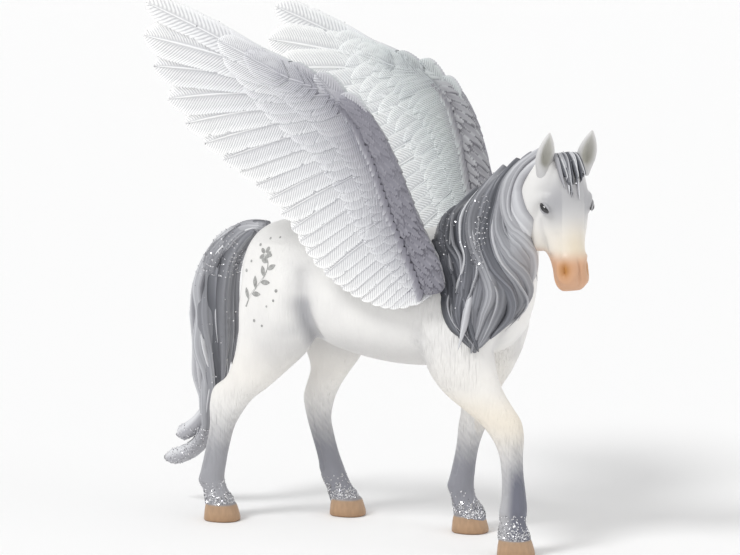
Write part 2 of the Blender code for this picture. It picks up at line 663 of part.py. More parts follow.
def make_arm(wing, collection):
    """The thick leading edge of the wing, from the shoulder to the last joint."""
    points = [(wing.at(x, z), size) for x, z, size in smooth_rows(ARM, 3)]
    rings = []
    last = len(points) - 1
    for i, (point, size) in enumerate(points):
        tangent = (points[min(i + 1, last)][0] - points[max(i - 1, 0)][0]).normalized()
        across = tangent.cross(wing.outward)
        radius = size * ARM_DIAMETER / 2
        rings.append(oval(point, wing.outward * radius, across * radius * ARM_FLATNESS, points=16))
    first, final = rings[0], rings[-1]
    for ring, ends in ((first, 0), (final, last)):
        middle = points[ends][0]
        for i, point in enumerate(ring):
            ring[i] = middle + (point - middle) * 0.7
    return skin_rings("arm", rings, collection)


def make_feather(name, wing, base, tip, width, thickness, collection, sag=0.03):
    """A flat feather with a round tip, its rear edge raised over the feather behind it."""
    root, end = Vector(base), Vector(tip)
    run = end - root
    side = Vector((-run.y, run.x)).normalized()
    bend = root + run * 0.5 + side * -run.length * sag
    rounding = min(0.8 * width / run.length, 0.5)
    shares = [k / 6 * (1 - rounding) for k in range(6)]
    shares += [1 - rounding * math.cos(k * math.pi / 12) for k in range(7)]
    rings = []
    for share in shares:
        middle = root * (1 - share) ** 2 + bend * 2 * share * (1 - share) + end * share * share
        tip = max((share - 1) / rounding + 1, 0.0)
        spread = width / 2 * (0.7 + 0.3 * min(share / 0.5, 1.0))
        spread *= max(math.sqrt(max(1 - tip * tip, 0)), 0.08)
        half = thickness * FEATHER_THICKNESS / 2 * (1 - 0.35 * share)
        ring = []
        for i in range(14):
            angle = 2 * math.pi * i / 14
            c, s = math.cos(angle), math.sin(angle)
            v = math.copysign(abs(c) ** 0.75, c)
            lift = math.copysign(abs(s) ** 0.75, s) * half * (1 - 0.25 * abs(v))
            spot = middle + side * v * spread
            ring.append(wing.at(spot.x, spot.y, lift + FEATHER_TILT * v))
        rings.append(ring)
    return skin_rings(name, rings, collection)


def make_plug(name, side, diameter, depth, collection):
    """A round peg from the foot of the wing into the shoulder."""
    inner, outer = SHOULDER_FACE - depth, WING_STAND_OFF + ARM_DIAMETER / 4
    middle = place(PLUG_PLACE[0], 0, PLUG_PLACE[1])
    across, up = Vector((diameter / 2, 0, 0)), Vector((0, 0, diameter / 2))
    rings = [oval(middle + Vector((0, side * y, 0)), across, up, points=32) for y in (inner, outer)]
    return skin_rings(name, rings, collection)


def make_wing(name, side, collection):
    wing = WingSide(side)
    parts = [make_arm(wing, collection)]
    tips = smooth_rows(FLIGHT_TIPS, 8)
    for reach, thick, crowd in FEATHER_ROWS:
        count = round(len(FLIGHT_TIPS) * crowd)
        for k in range(count):
            order = k / (count - 1)
            share = order * (1 + BUNCHING * (1 - order))
            foot = Vector(arm_at(1 - 0.97 * share)[:2])
            tip = foot.lerp(Vector(tips[round(share * (len(tips) - 1))]), reach)
            room = (1 + BUNCHING * (1 - 2 * order)) / (1 + BUNCHING)
            width = (12 - (3.6 if k == 0 else 0)) * room / crowd ** 0.6
            parts.append(make_feather("feather", wing, foot, tip, width, thick, collection))
    for bx, bz, tx, tz in EDGE_FEATHERS:
        parts.append(make_feather("feather", wing, (bx, bz), (tx, tz), 5.5, 1.8, collection))
    parts.append(make_plug("plug", side, PLUG_DIAMETER, PLUG_DEPTH, collection))
    middle = SHOULDER_FACE + SHOULDER_GAP + BOSS_DEPTH
    parts.append(make_boss("boss", side, middle, BOSS_DEPTH, WING_BOSS_DIAMETER / 2, collection))
    feathers = joined(name, parts, collection)
    fuse(feathers, WING_VOXEL, 1)
    thin_out(feathers, WING_TRIANGLES)
    paint(feathers, name + "_paint", (0.8, 0.8, 0.84), 0.5)
    return feathers


def make_flesh(head, collection):
    parts = [make_trunk(collection), make_head(head, collection)]
    for side in (1, -1):
        parts += [make_head_mound(head, mound, side, collection) for mound in (CHEEK, BROW, NOSTRIL_FLARE)]
    parts += [make_leg("leg", stations, collection) for stations in LEGS]
    half = SHOULDER_FACE / 2
    parts += [make_boss("shoulder", side, half, half, BOSS_DIAMETER / 2, collection) for side in (1, -1)]
    flesh = joined("flesh", parts, collection)
    fuse(flesh, FLESH_VOXEL, 8)
    return apply_modifiers(flesh)


def make_body(collection, tools):
    head = HeadFrame()
    parts = [make_flesh(head, collection)]
    parts += [make_hoof("hoof", spot, collection) for spot in SOLES]
    parts += [make_ear("ear", head, side, collection) for side in (1, -1)]
    parts += make_mane(parts[0], collection)
    parts += make_forelock(head, collection)
    parts += make_tail(collection)
    parts += [make_eye(head, side, collection) for side in (1, -1)]
    body = joined("body", parts, collection)
    fuse(body, BODY_VOXEL, 2)
    thin_out(body, BODY_TRIANGLES)
    ground = make_ground(tools)
    cut(body, "flat_soles", ground)
    bore, depth = PLUG_DIAMETER + 2 * PLUG_CLEARANCE, PLUG_DEPTH + PLUG_CLEARANCE
    for side, name in ((-1, "socket_right"), (1, "socket_left")):
        cut(body, name, make_plug(name, side, bore, depth, tools))
    for side, name in ((1, "nostril_right"), (-1, "nostril_left")):
        cut(body, name, make_nostril(name, head, side, tools))
    paint(body, "painted_plastic", (0.93, 0.92, 0.9), 0.45)
    return body


def make_ground(tools):
    """A block below the ground that cuts the soles flat."""
    bm = bmesh.new()
    bmesh.ops.create_cube(bm, size=1.0)
    bmesh.ops.scale(bm, vec=(3 * BODY_LENGTH, 3 * BODY_LENGTH, WITHERS_HEIGHT), verts=bm.verts)
    bmesh.ops.translate(bm, vec=(0, 0, -WITHERS_HEIGHT / 2), verts=bm.verts)
    mesh = bpy.data.meshes.new("ground")
    bm.to_mesh(mesh)
    bm.free()
    return add_object("ground", mesh, tools)


def main():
    clear_scene()
    figurine = bpy.data.collections.new("winged_horse_figurine")
    tools = bpy.data.collections.new("cutters")
    for collection in (figurine, tools):
        bpy.context.scene.collection.children.link(collection)
    make_body(figurine, tools)
    make_wing("wing_right", -1, figurine)
    make_wing("wing_left", 1, figurine)


main()
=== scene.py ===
"""How the winged horse figurine looks: its painted skin, hair and feathers, with the camera and the lights.

The shapes follow the same numbers as the part's source, in the same frame, and add the finer carving.
"""

import math
import random

import bmesh
import bpy
import numpy as np
from mathutils import Matrix, Vector
from mathutils.bvhtree import BVHTree


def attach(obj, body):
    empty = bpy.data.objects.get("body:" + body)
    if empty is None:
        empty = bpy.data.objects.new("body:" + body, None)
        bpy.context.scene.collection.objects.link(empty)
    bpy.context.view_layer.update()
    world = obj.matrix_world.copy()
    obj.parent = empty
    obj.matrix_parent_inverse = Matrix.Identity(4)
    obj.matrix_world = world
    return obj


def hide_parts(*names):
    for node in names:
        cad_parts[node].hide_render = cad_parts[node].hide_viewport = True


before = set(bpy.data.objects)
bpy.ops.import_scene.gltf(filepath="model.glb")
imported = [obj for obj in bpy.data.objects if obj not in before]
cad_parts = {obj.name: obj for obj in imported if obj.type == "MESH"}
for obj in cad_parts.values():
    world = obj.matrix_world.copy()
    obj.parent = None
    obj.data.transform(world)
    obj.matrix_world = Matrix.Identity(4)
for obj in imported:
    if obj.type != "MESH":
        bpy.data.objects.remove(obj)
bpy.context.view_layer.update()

MM = 0.001

# Driving dimensions, in metres
BODY_LENGTH = 0.082  # point of buttock to point of shoulder
WITHERS_HEIGHT = 0.085
TRUNK_WIDTH = 0.028
LEG_WIDTH = 0.0058  # across a hind cannon
HOOF_LENGTH = 0.0098  # heel to toe, on the ground
HOOF_WIDTH = 0.0088
HOOF_HEIGHT = 0.0048
HEAD_LENGTH = 0.036  # poll to lips
HEAD_WIDTH = 0.0144  # across the brows
EAR_LENGTH = 0.0104
EAR_WIDTH = 0.0054
EYE_LENGTH = 0.0036
HAIR_THICKNESS = 0.0030  # of a lock in the mane or tail
WING_STAND_OFF = 0.0176  # mid-plane to the middle of the wing, at the wing's foot
WING_FLARE = 0.22  # how far the wing leans out for each unit of height
WING_SPREAD = 0.05  # how far it spreads out for each unit of length behind the plug
FEATHER_THICKNESS = 0.0017
FEATHER_TILT = 0.00035  # how far its rear edge is raised
ARM_DIAMETER = 0.0060  # of the wing's leading edge at its root, through the wing
ARM_FLATNESS = 1.3  # how much wider it is in the plane of the wing
PLUG_DIAMETER = 0.008
PLUG_DEPTH = 0.004  # how far the plug goes into the shoulder
SHOULDER_FACE = 0.0132  # mid-plane to the skin of the shoulder at the plug
BOSS_DIAMETER = 0.018  # of the swelling round the plug, on the shoulder
WING_BOSS_DIAMETER = 0.015  # and on the wing
BOSS_DEPTH = 0.0033  # half the thickness of the swelling on the wing

# The stations below were drawn in millimetres, on a figurine with these sizes in millimetres
DRAWN_LENGTH, DRAWN_WITHERS, DRAWN_WIDTH, DRAWN_LEG = 82, 85, 28, 5.8
LONG = BODY_LENGTH / DRAWN_LENGTH / MM
TALL = WITHERS_HEIGHT / DRAWN_WITHERS / MM
WIDE = TRUNK_WIDTH / DRAWN_WIDTH / MM
STOUT = LEG_WIDTH / DRAWN_LEG / MM

FORWARD_SHIFT = -2.0  # millimetres that bring the middle of the figurine over the origin
POLL = (63.4, -4.3, 107.6)
HEAD_TURN = math.radians(-34)  # to the horse's right
FACE_SLOPE = math.radians(80)  # of the line of the nose, below the horizontal
PLUG_PLACE = (24.0, 74.0)
WING_FOOT = 65.0  # the height where the wing stands off the mid-plane by its stand-off
LEFT_WING_SWING = math.radians(5.5)  # how much further back the left wing is turned about its plug

# Trunk and neck: top x, z, bottom x, z, y, half width, how much narrower the top is than the bottom
TRUNK = [
    (-35.0, 71.0, -35.0, 65.0, 0.0, 3.0, 0.0),
    (-33.8, 77.5, -34.5, 58.5, 0.0, 8.6, 0.0),
    (-30.0, 81.6, -31.0, 54.0, 0.0, 11.8, 0.05),
    (-23.0, 83.6, -24.0, 52.0, 0.0, 13.2, 0.1),
    (-14.0, 82.6, -14.0, 52.0, 0.0, 13.2, 0.12),
    (-5.0, 80.6, -5.0, 49.2, 0.0, 13.8, 0.12),
    (4.0, 79.8, 5.0, 47.4, 0.0, 14.0, 0.12),
    (12.0, 81.2, 15.0, 46.8, 0.0, 13.8, 0.15),
    (18.0, 83.6, 25.0, 47.6, 0.0, 13.2, 0.2),
    (23.5, 85.4, 34.0, 50.0, 0.0, 12.4, 0.28),
    (29.0, 89.0, 43.5, 54.0, 0.0, 11.6, 0.32),
    (34.5, 93.8, 48.0, 61.5, 0.0, 10.4, 0.34),
    (40.0, 98.2, 49.6, 69.5, -0.4, 9.0, 0.32),
    (46.0, 102.2, 50.4, 76.5, -1.4, 7.6, 0.28),
    (52.0, 105.2, 51.0, 83.0, -2.8, 6.4, 0.22),
    (57.0, 106.6, 54.0, 88.0, -3.8, 5.6, 0.15),
    (60.5, 105.6, 57.5, 92.0, -4.6, 4.4, 0.1),
]

# Legs: back x, z, front x, z, y, half width
RIGHT_HIND = [
    (-31.5, 78.0, -14.0, 78.0, -6.0, 4.6),
    (-33.8, 69.0, -9.5, 68.5, -7.6, 6.2),
    (-34.6, 60.5, -9.5, 57.5, -8.6, 6.4),
    (-34.4, 52.5, -12.8, 49.6, -9.4, 5.7),
    (-35.6, 45.8, -18.8, 43.6, -9.9, 4.6),
    (-38.0, 40.2, -25.2, 38.0, -10.3, 3.8),
    (-42.0, 36.8, -29.6, 34.6, -10.6, 3.2),
    (-43.2, 32.0, -32.8, 30.8, -10.8, 3.1),
    (-43.0, 26.4, -35.6, 26.2, -11.0, 2.8),
    (-44.2, 20.0, -37.3, 20.4, -11.2, 2.7),
    (-45.6, 14.0, -38.3, 15.2, -11.4, 2.8),
    (-46.2, 10.6, -38.9, 11.4, -11.5, 3.2),
    (-44.8, 7.8, -37.8, 8.6, -11.6, 2.9),
    (-44.2, 5.4, -36.0, 6.2, -11.7, 3.6),
    (-43.8, 2.4, -35.2, 3.0, -11.7, 3.6),
]
LEFT_HIND = [
    (-31.0, 78.0, -13.0, 78.0, 6.0, 4.6),
    (-32.6, 69.0, -7.6, 68.5, 7.6, 6.2),
    (-31.8, 60.5, -5.0, 58.5, 8.6, 6.4),
    (-28.6, 53.0, -5.2, 51.0, 9.2, 5.7),
    (-24.8, 46.5, -7.6, 45.2, 9.6, 4.6),
    (-23.2, 41.0, -11.2, 40.6, 10.0, 3.8),
    (-24.6, 36.4, -14.2, 36.4, 10.2, 3.2),
    (-25.8, 32.4, -16.4, 32.0, 10.4, 3.1),
    (-25.0, 27.2, -17.6, 26.8, 10.6, 2.8),
    (-23.6, 22.2, -16.8, 22.0, 10.8, 2.7),
    (-22.0, 17.0, -15.4, 17.0, 11.0, 2.7),
    (-20.9, 12.6, -13.9, 13.2, 11.1, 2.9),
    (-20.4, 10.0, -12.9, 10.6, 11.2, 3.2),
    (-18.9, 7.4, -11.5, 8.2, 11.2, 2.9),
    (-18.0, 5.4, -9.6, 6.0, 11.2, 3.6),
    (-17.2, 2.4, -8.6, 3.0, 11.2, 3.6),
]
RIGHT_FORE = [
    (17.0, 80.0, 30.0, 81.0, -5.0, 4.2),
    (16.5, 71.0, 38.0, 72.0, -7.2, 6.0),
    (19.0, 61.0, 43.0, 62.5, -8.4, 6.4),
    (22.6, 52.5, 43.6, 54.0, -9.0, 5.8),
    (25.6, 46.2, 45.0, 47.6, -9.3, 5.0),
    (30.0, 41.6, 47.0, 43.4, -9.5, 4.4),
    (35.8, 37.8, 49.6, 39.8, -9.6, 3.8),
    (41.0, 34.4, 52.4, 36.0, -9.7, 3.6),
    (44.8, 30.4, 53.2, 31.6, -9.8, 3.5),
    (46.6, 26.4, 53.0, 27.0, -9.9, 2.9),
    (47.3, 21.6, 53.3, 22.0, -10.0, 2.7),
    (47.4, 16.6, 54.0, 16.8, -10.0, 2.8),
    (46.8, 11.6, 54.4, 12.4, -10.0, 3.2),
    (46.6, 8.2, 54.0, 9.2, -10.0, 2.9),
    (46.4, 5.6, 55.0, 6.4, -10.0, 3.7),
    (46.6, 2.4, 55.6, 3.0, -10.0, 3.7),
]
LEFT_FORE = [
    (16.0, 80.0, 30.0, 81.0, 5.0, 4.2),
    (16.5, 71.0, 42.0, 72.0, 6.6, 6.2),
    (18.5, 61.0, 45.4, 61.5, 7.8, 6.6),
    (20.8, 52.0, 43.2, 52.5, 8.6, 5.8),
    (22.8, 45.0, 39.6, 45.8, 9.0, 4.8),
    (24.2, 38.6, 35.6, 39.4, 9.2, 4.0),
    (24.6, 33.6, 33.8, 34.0, 9.3, 3.6),
    (23.8, 29.6, 31.8, 29.8, 9.4, 3.3),
    (23.2, 24.6, 29.8, 24.8, 9.5, 2.8),
    (22.4, 20.4, 28.8, 20.6, 9.5, 2.7),
    (21.3, 15.8, 28.2, 16.2, 9.5, 2.9),
    (20.5, 12.2, 27.9, 12.8, 9.5, 3.2),
    (21.6, 8.8, 28.6, 9.6, 9.5, 2.9),
    (22.4, 5.6, 31.0, 6.4, 9.5, 3.7),
    (22.8, 2.4, 31.8, 3.0, 9.5, 3.7),
]
LEGS = [RIGHT_HIND, LEFT_HIND, RIGHT_FORE, LEFT_FORE]
SOLES = [(-39.0, -11.7), (-12.3, 11.2), (51.5, -10.0), (27.2, 9.5)]  # middle of each: x, y

# Head, as shares of its length and half width: down the face, forward of the face line, behind it,
# half width, how much narrower the face is than the jaw
HEAD = [
    (0.0, -0.14, 0.18, 0.3, 0.0),
    (0.05, -0.06, 0.27, 0.58, 0.0),
    (0.12, -0.02, 0.33, 0.78, -0.04),
    (0.22, 0.008, 0.4, 0.9, -0.04),
    (0.33, 0.016, 0.45, 0.96, -0.02),
    (0.43, 0.01, 0.475, 0.94, 0.0),
    (0.52, 0.0, 0.47, 0.86, 0.06),
    (0.6, 0.0, 0.43, 0.76, 0.1),
    (0.68, 0.0, 0.345, 0.66, 0.1),
    (0.76, 0.004, 0.28, 0.6, 0.04),
    (0.84, 0.01, 0.25, 0.6, -0.02),
    (0.91, 0.004, 0.235, 0.6, 0.0),
    (0.97, -0.03, 0.2, 0.52, 0.05),
    (1.0, -0.075, 0.16, 0.38, 0.05),
]
# Rounded parts of the head: down the face, behind its line, half widths from the middle, and half sizes
# as shares of the head's length down, out of the face and across
CHEEK = (0.49, 0.32, 0.62, 0.211, 0.189, 0.092)
BROW = (0.37, 0.1, 0.74, 0.089, 0.064, 0.061)
NOSTRIL_FLARE = (0.85, 0.05, 0.46, 0.067, 0.047, 0.042)
# Eyes, nostrils and ears: down the face, behind its line, half widths from the middle
EYE_PLACE = (0.39, 0.09, 0.94)
NOSTRIL_PLACE = (0.85, 0.035, 0.56)
NOSTRIL_SIZE = (0.0018, 0.0026)  # its half width and half height
EAR_PLACE = (0.12, 0.11, 0.84)

# Guides the locks of the mane follow, from the withers to the poll: x, y, z from root to tip
MANE = [
    [(25.5, 1.0, 86.5), (26.0, -3.5, 85.6), (28.0, -8.0, 81.5), (30.6, -10.8, 77.4), (33.2, -12.4, 72.8),
     (34.6, -13.8, 69.0), (35.2, -14.6, 65.5), (37.0, -15.0, 61.5)],
    [(31.0, 1.0, 92.5), (28.6, -4.5, 87.8), (29.0, -8.5, 81.6), (32.4, -10.8, 77.2), (35.0, -12.4, 72.0),
     (34.8, -14.2, 67.0), (36.2, -15.2, 62.0), (39.4, -14.6, 57.6)],
    [(37.0, 1.0, 97.5), (32.4, -5.5, 89.5), (33.6, -9.0, 82.8), (36.7, -10.6, 78.0), (36.4, -12.4, 72.4),
     (35.6, -14.2, 67.2), (37.7, -14.8, 61.6), (41.2, -13.6, 55.0)],
    [(41.0, 0.6, 100.5), (36.6, -5.6, 93.0), (36.6, -8.6, 86.2), (39.2, -10.6, 80.4), (41.0, -11.4, 75.0),
     (40.4, -12.6, 69.4), (39.6, -14.0, 63.4), (40.8, -14.4, 54.0)],
    [(44.5, 0.4, 103.2), (40.2, -5.8, 95.8), (38.8, -8.2, 88.8), (40.0, -10.2, 82.0), (44.2, -10.8, 75.0),
     (46.0, -9.4, 69.6), (44.2, -10.6, 62.6), (40.8, -13.9, 55.0)],
    [(49.0, 0.0, 105.4), (45.4, -6.4, 99.2), (44.6, -8.8, 92.0), (45.0, -9.8, 86.0), (47.6, -10.0, 79.2),
     (48.6, -6.4, 72.6), (47.6, -4.2, 66.6), (44.4, -8.0, 60.6)],
    [(53.0, -1.0, 107.4), (48.2, -7.0, 101.0), (46.9, -9.2, 94.6), (48.4, -10.2, 87.6), (50.6, -8.0, 82.0),
     (50.0, -4.0, 77.3), (49.0, -3.0, 71.5), (47.4, -4.0, 66.0)],
    [(56.5, -2.4, 108.0), (50.6, -7.4, 103.4), (48.4, -9.0, 97.8), (50.0, -10.2, 91.8), (52.6, -8.8, 86.4),
     (52.2, -4.8, 82.5), (50.9, -2.0, 77.6), (49.6, -1.4, 72.6)],
]
# A short pale lock that leaves the foot of the mane: x, y, z, and the way that it stands off
PALE_LOCK = [(39.6, -15.4, 70.0), (39.2, -15.8, 66.0), (38.8, -15.9, 60.5), (36.8, -15.2, 54.5)]
PALE_LOCK_SIDE = Vector((0.12, -0.98, 0.14))
# How far a lock of the mane stands off the neck and how wide locks are, for each unit of hair thickness
UPPER_LOCK = (0.24, 1.6)
LOWER_LOCK = (0.1, 2.2)
TAIL_LOCK_WIDTH = 1.8
# Strands of the forelock: half widths from the middle at root and tip, how far down the face they reach
# and how far they stand off it, as shares of the head's length
FORELOCK = [
    (-0.46, -0.4, 0.22, 0.0),
    (-0.24, -0.2, 0.3, 0.004),
    (0.0, 0.02, 0.35, 0.006),
    (0.24, 0.12, 0.32, 0.004),
    (0.46, 0.34, 0.24, 0.0),
]
TAIL_LOCKS = 9
TAIL_TWIST = 0.28  # turns that the locks make round the tail
TAIL_FLATNESS = 0.8  # its width from side to side, for each unit from front to back
# Middle of the tail: x, y, z, how far its locks spread
TAIL = [
    (-31.5, 0.0, 80.5, 0.6),
    (-36.5, 0.0, 80.0, 1.6),
    (-42.0, 0.0, 76.8, 2.8),
    (-47.0, 0.4, 71.0, 3.6),
    (-49.6, 0.8, 63.0, 4.2),
    (-50.2, 0.8, 54.5, 4.6),
    (-50.0, 0.6, 46.0, 4.6),
    (-49.6, 0.2, 38.0, 3.8),
    (-50.0, 0.0, 30.0, 2.9),
    (-51.4, 0.4, 22.6, 2.3),
    (-55.0, 0.8, 17.2, 2.2),
    (-60.0, 1.0, 14.0, 1.8),
    (-66.0, 1.0, 12.3, 0.6),
]
# A lock that leaves the tail low down: x, y, z
TAIL_CURL = [(-48.0, -0.6, 38.0), (-49.2, -0.6, 31.0), (-52.0, -0.4, 26.0), (-56.4, 0.0, 22.0),
             (-61.4, 0.2, 19.4)]
TAIL_CURL_WIDTH, TAIL_CURL_THICKNESS = 1.6, 1.5

# Wing, seen from the side: x, z, half thickness of its leading edge as a share of the arm's
ARM = [
    (31.0, 70.0, 0.9),
    (29.8, 77.0, 1.05),
    (26.4, 86.0, 1.0),
    (23.6, 95.0, 0.95),
    (21.4, 103.0, 0.9),
    (18.6, 110.4, 0.85),
    (15.0, 116.6, 0.75),
    (9.6, 121.2, 0.6),
    (3.0, 124.2, 0.5),
    (-5.0, 126.4, 0.4),
]
# Tips of the flight feathers, from the leading edge to the flank: x, z
FLIGHT_TIPS = [
    (-44.5, 144.4), (-46.5, 135.4), (-44.4, 126.0), (-41.2, 117.4), (-36.0, 110.2), (-30.0, 104.8),
    (-24.0, 100.4), (-18.0, 96.0), (-13.6, 91.0), (-9.6, 85.8), (-6.6, 80.6), (-3.6, 75.8), (0.6, 71.8),
    (5.4, 68.4), (11.0, 66.0), (17.5, 65.0), (24.0, 66.6),
]
BUNCHING = 0.55  # how much closer together the feathers stand at the flank than at the wing's tip
# Rows of feathers: share of the flight feathers' length, thickness and how many for each flight feather
FEATHER_ROWS = [(1.0, 1.0, 1.55), (0.48, 1.6, 1.8), (0.29, 2.2, 2.3)]
# Short feathers that lap the leading edge of the hand: x, z of foot and tip
EDGE_FEATHERS = [(18.0, 112.0, 11.2, 122.6), (12.0, 118.6, 4.0, 127.4), (6.0, 122.6, -5.0, 129.2),
                 (-2.0, 125.0, -16.0, 132.6)]

# Finer sizes of the visual model
SKIN_VOXEL = 0.00042
SKIN_SOFTENING = 14
SKIN_TRIANGLES = 185000
FLIGHT_BARB = 0.9  # millimetres from one barb to the next on the flight feathers
COVERT_BARB = 0.7
BARB_HEIGHT = 0.00018
SHAFT_HEIGHT = 0.00016
HAIR_STRAND = 0.075  # height of the strands on a lock, as a share of its thickness
FEATHER_SAG = 0.03  # how far a feather bows, as a share of its length
BARB_SLOPE = 1.15  # how far a barb leans out for each unit along the feather
BARB_COLUMNS = (-1.0, -0.66, -0.34, -0.075, 0.0, 0.075, 0.34, 0.66, 1.0)  # from edge to edge of a feather
ROOT_GAP = 0.0003  # between the shoulder and the rounded root of the wing
NOSTRIL_DEPTH = 0.0024
NOSTRIL_RIM = 0.0004  # how high its rim is raised
FLAKE_SIZE = 0.00018  # radius of a flake of glitter
FLAKE_JOG = 0.00015  # how far one is shifted off the point of the mesh that it was given
FLAKE_LIFT = 0.00008  # how far flakes float off the paint that they lie on
FILM_LIFT = 0.00005  # the same for the print

# Camera and paint
VIEW_AZIMUTH, VIEW_ELEVATION = math.radians(30), math.radians(9)
VIEW_TARGET = (-0.0011, 0.0005, 0.069)
VIEW_DISTANCE = 1.0
WHITE = (0.87, 0.86, 0.84)


def link(obj):
    bpy.context.scene.collection.objects.link(obj)
    return obj


def object_from(bm, name):
    mesh = bpy.data.meshes.new(name)
    bm.to_mesh(mesh)
    bm.free()
    return link(bpy.data.objects.new(name, mesh))


def modify(obj, kind, **settings):
    modifier = obj.modifiers.new(kind.lower(), kind)
    for key, value in settings.items():
        setattr(modifier, key, value)


def evaluated_mesh(obj):
    graph = bpy.context.evaluated_depsgraph_get()
    mesh = bpy.data.meshes.new_from_object(obj.evaluated_get(graph))
    obj.modifiers.clear()
    obj.data = mesh


def mesh_points(obj):
    points = np.empty(len(obj.data.vertices) * 3, np.float32)
    obj.data.vertices.foreach_get("co", points)
    return points.reshape(-1, 3).astype(float)


def smoothly(low, high, value):
    """0 below low, 1 above high, with a smooth ramp between."""
    share = np.clip((value - low) / (high - low), 0, 1)
    return share * share * (3 - 2 * share)


def bell(value, middle, width):
    """1 at the middle, falling off smoothly over this width on either side of it."""
    return np.exp(-((value - middle) / width) ** 2)


def circle(count):
    """The cosine and sine of count angles, evenly spaced once round."""
    return [(math.cos(2 * math.pi * k / count), math.sin(2 * math.pi * k / count)) for k in range(count)]


def step_along(spots, i):
    """The way a path runs at its point i."""
    return spots[min(i + 1, len(spots) - 1)] - spots[max(i - 1, 0)]


def left_of(way):
    """A direction in a plane, turned a quarter turn to the left."""
    return Vector((-way.y, way.x))


def square_to(way, out):
    """The direction nearest to way that is square to out."""
    return (way - out * way.dot(out)).normalized()


def straight_axes(a, b, c):
    """Half sizes along x, y and z as three vectors."""
    return Vector((a, 0, 0)), Vector((0, b, 0)), Vector((0, 0, c))


def line_distance(points, line):
    """How far each point lies from a line through several spots."""
    nearest = np.full(len(points), 1.0)
    for a, b in zip(line, line[1:]):
        a, b = np.array(a), np.array(b)
        run = b - a
        share = np.clip((points - a) @ run / (run @ run), 0, 1)
        nearest = np.minimum(nearest, np.linalg.norm(points - a - share[:, None] * run, axis=1))
    return nearest


def keep_numbers(obj, **columns):
    """Stores a number for each point of the mesh under each name, for the paint to read."""
    for name, values in columns.items():
        layer = obj.data.attributes.new(name, "FLOAT", "POINT")
        layer.data.foreach_set("value", np.asarray(values, np.float32))


class Shape:
    """Points and faces gathered for one piece, with some numbers kept for each point."""

    def __init__(self, *names):
        self.points, self.faces, self.numbers = [], [], {name: [] for name in names}

    def point(self, spot, **numbers):
        self.points.append(spot)
        for name, values in self.numbers.items():
            values.append(numbers.get(name, 0.0))
        return len(self.points) - 1

    def bridge(self, near, far, closed=False):
        """Faces between two rows of points that match one to one."""
        count = len(near)
        for i in range(count if closed else count - 1):
            j = (i + 1) % count
            self.faces.append((near[i], near[j], far[j], far[i]))

    def walls(self, rows):
        """Faces from each closed row of points to the next."""
        for near, far in zip(rows, rows[1:]):
            self.bridge(near, far, True)

    def build(self, name, smooth=True):
        mesh = bpy.data.meshes.new(name)
        mesh.from_pydata([tuple(p) for p in self.points], [], self.faces)
        mesh.update()
        mesh.polygons.foreach_set("use_smooth", [smooth] * len(mesh.polygons))
        obj = link(bpy.data.objects.new(name, mesh))
        keep_numbers(obj, **self.numbers)
        return obj


def place(x, y, z):
    """A point of the drawing, in millimetres, as a point of the figurine in metres."""
    return Vector(((x + FORWARD_SHIFT) * LONG, y * WIDE, z * TALL)) * MM


def catmull_rom(p, q, r, s, t):
    """The value a share t of the way from q to r, on a smooth curve through all four."""
    slope, bow, twist = r - p, 2 * p - 5 * q + 4 * r - s, 3 * q - p - 3 * r + s
    return 0.5 * (2 * q + slope * t + bow * t ** 2 + twist * t ** 3)


def smooth_rows(rows, steps):
    """The rows of numbers with more rows between them, on a curve that passes through each."""
    last = len(rows) - 1
    smooth = []
    for i in range(last):
        a, b, c, d = rows[max(i - 1, 0)], rows[i], rows[i + 1], rows[min(i + 2, last)]
        for step in range(steps):
            t = step / steps
            smooth.append([catmull_rom(p, q, r, s, t) for p, q, r, s in zip(a, b, c, d)])
    smooth.append(list(rows[last]))
    return smooth


def skin_rings(name, rings):
    """A closed surface through rings that all have the same number of points."""
    bm = bmesh.new()
    loops = [[bm.verts.new(point) for point in ring] for ring in rings]
    count = len(loops[0])
    for near, far in zip(loops, loops[1:]):
        for i in range(count):
            j = (i + 1) % count
            bm.faces.new((near[i], near[j], far[j], far[i]))
    bm.faces.new(reversed(loops[0]))
    bm.faces.new(loops[-1])
    bmesh.ops.recalc_face_normals(bm, faces=bm.faces)
    return object_from(bm, name)


def oval(centre, along, across, taper=0.0, squareness=2.0, points=24):
    """A ring round centre with half axes along and across, narrower by taper where along points."""
    ring = []
    for c, s in circle(points):
        u = math.copysign(abs(c) ** (2 / squareness), c)
        v = math.copysign(abs(s) ** (2 / squareness), s)
        ring.append(centre + along * u + across * v * (1 - taper * u))
    return ring


class HeadFrame:
    """Where the head is: down the face, out of it, and to the horse's right."""

    def __init__(self):
        heading = Vector((math.cos(HEAD_TURN), math.sin(HEAD_TURN), 0))
        self.poll = place(*POLL)
        self.down = heading * math.cos(FACE_SLOPE) - Vector((0, 0, math.sin(FACE_SLOPE)))
        self.right = heading.cross(Vector((0, 0, 1)))
        self.forward = self.down.cross(self.right)
        if self.forward.dot(heading) < 0:
            self.forward = -self.forward

    def at(self, down, behind, right):
        """A point at shares of the head's length down and behind the face, and half widths to the right."""
        return (self.poll + self.down * down * HEAD_LENGTH - self.forward * behind * HEAD_LENGTH
                + self.right * right * HEAD_WIDTH / 2)

    def line(self, shares, side):
        """Such points in a row, on the right of the head or on its left."""
        return [self.at(down, behind, side * right) for down, behind, right in shares]


def make_trunk():
    rings = []
    for tx, tz, bx, bz, y, half, taper in smooth_rows(TRUNK, 6):
        top, bottom = place(tx, y, tz), place(bx, y, bz)
        across = Vector((0, half * WIDE * MM, 0))
        rings.append(oval((top + bottom) / 2, (top - bottom) / 2, across, taper, 2.2, 48))
    return skin_rings("trunk", rings)


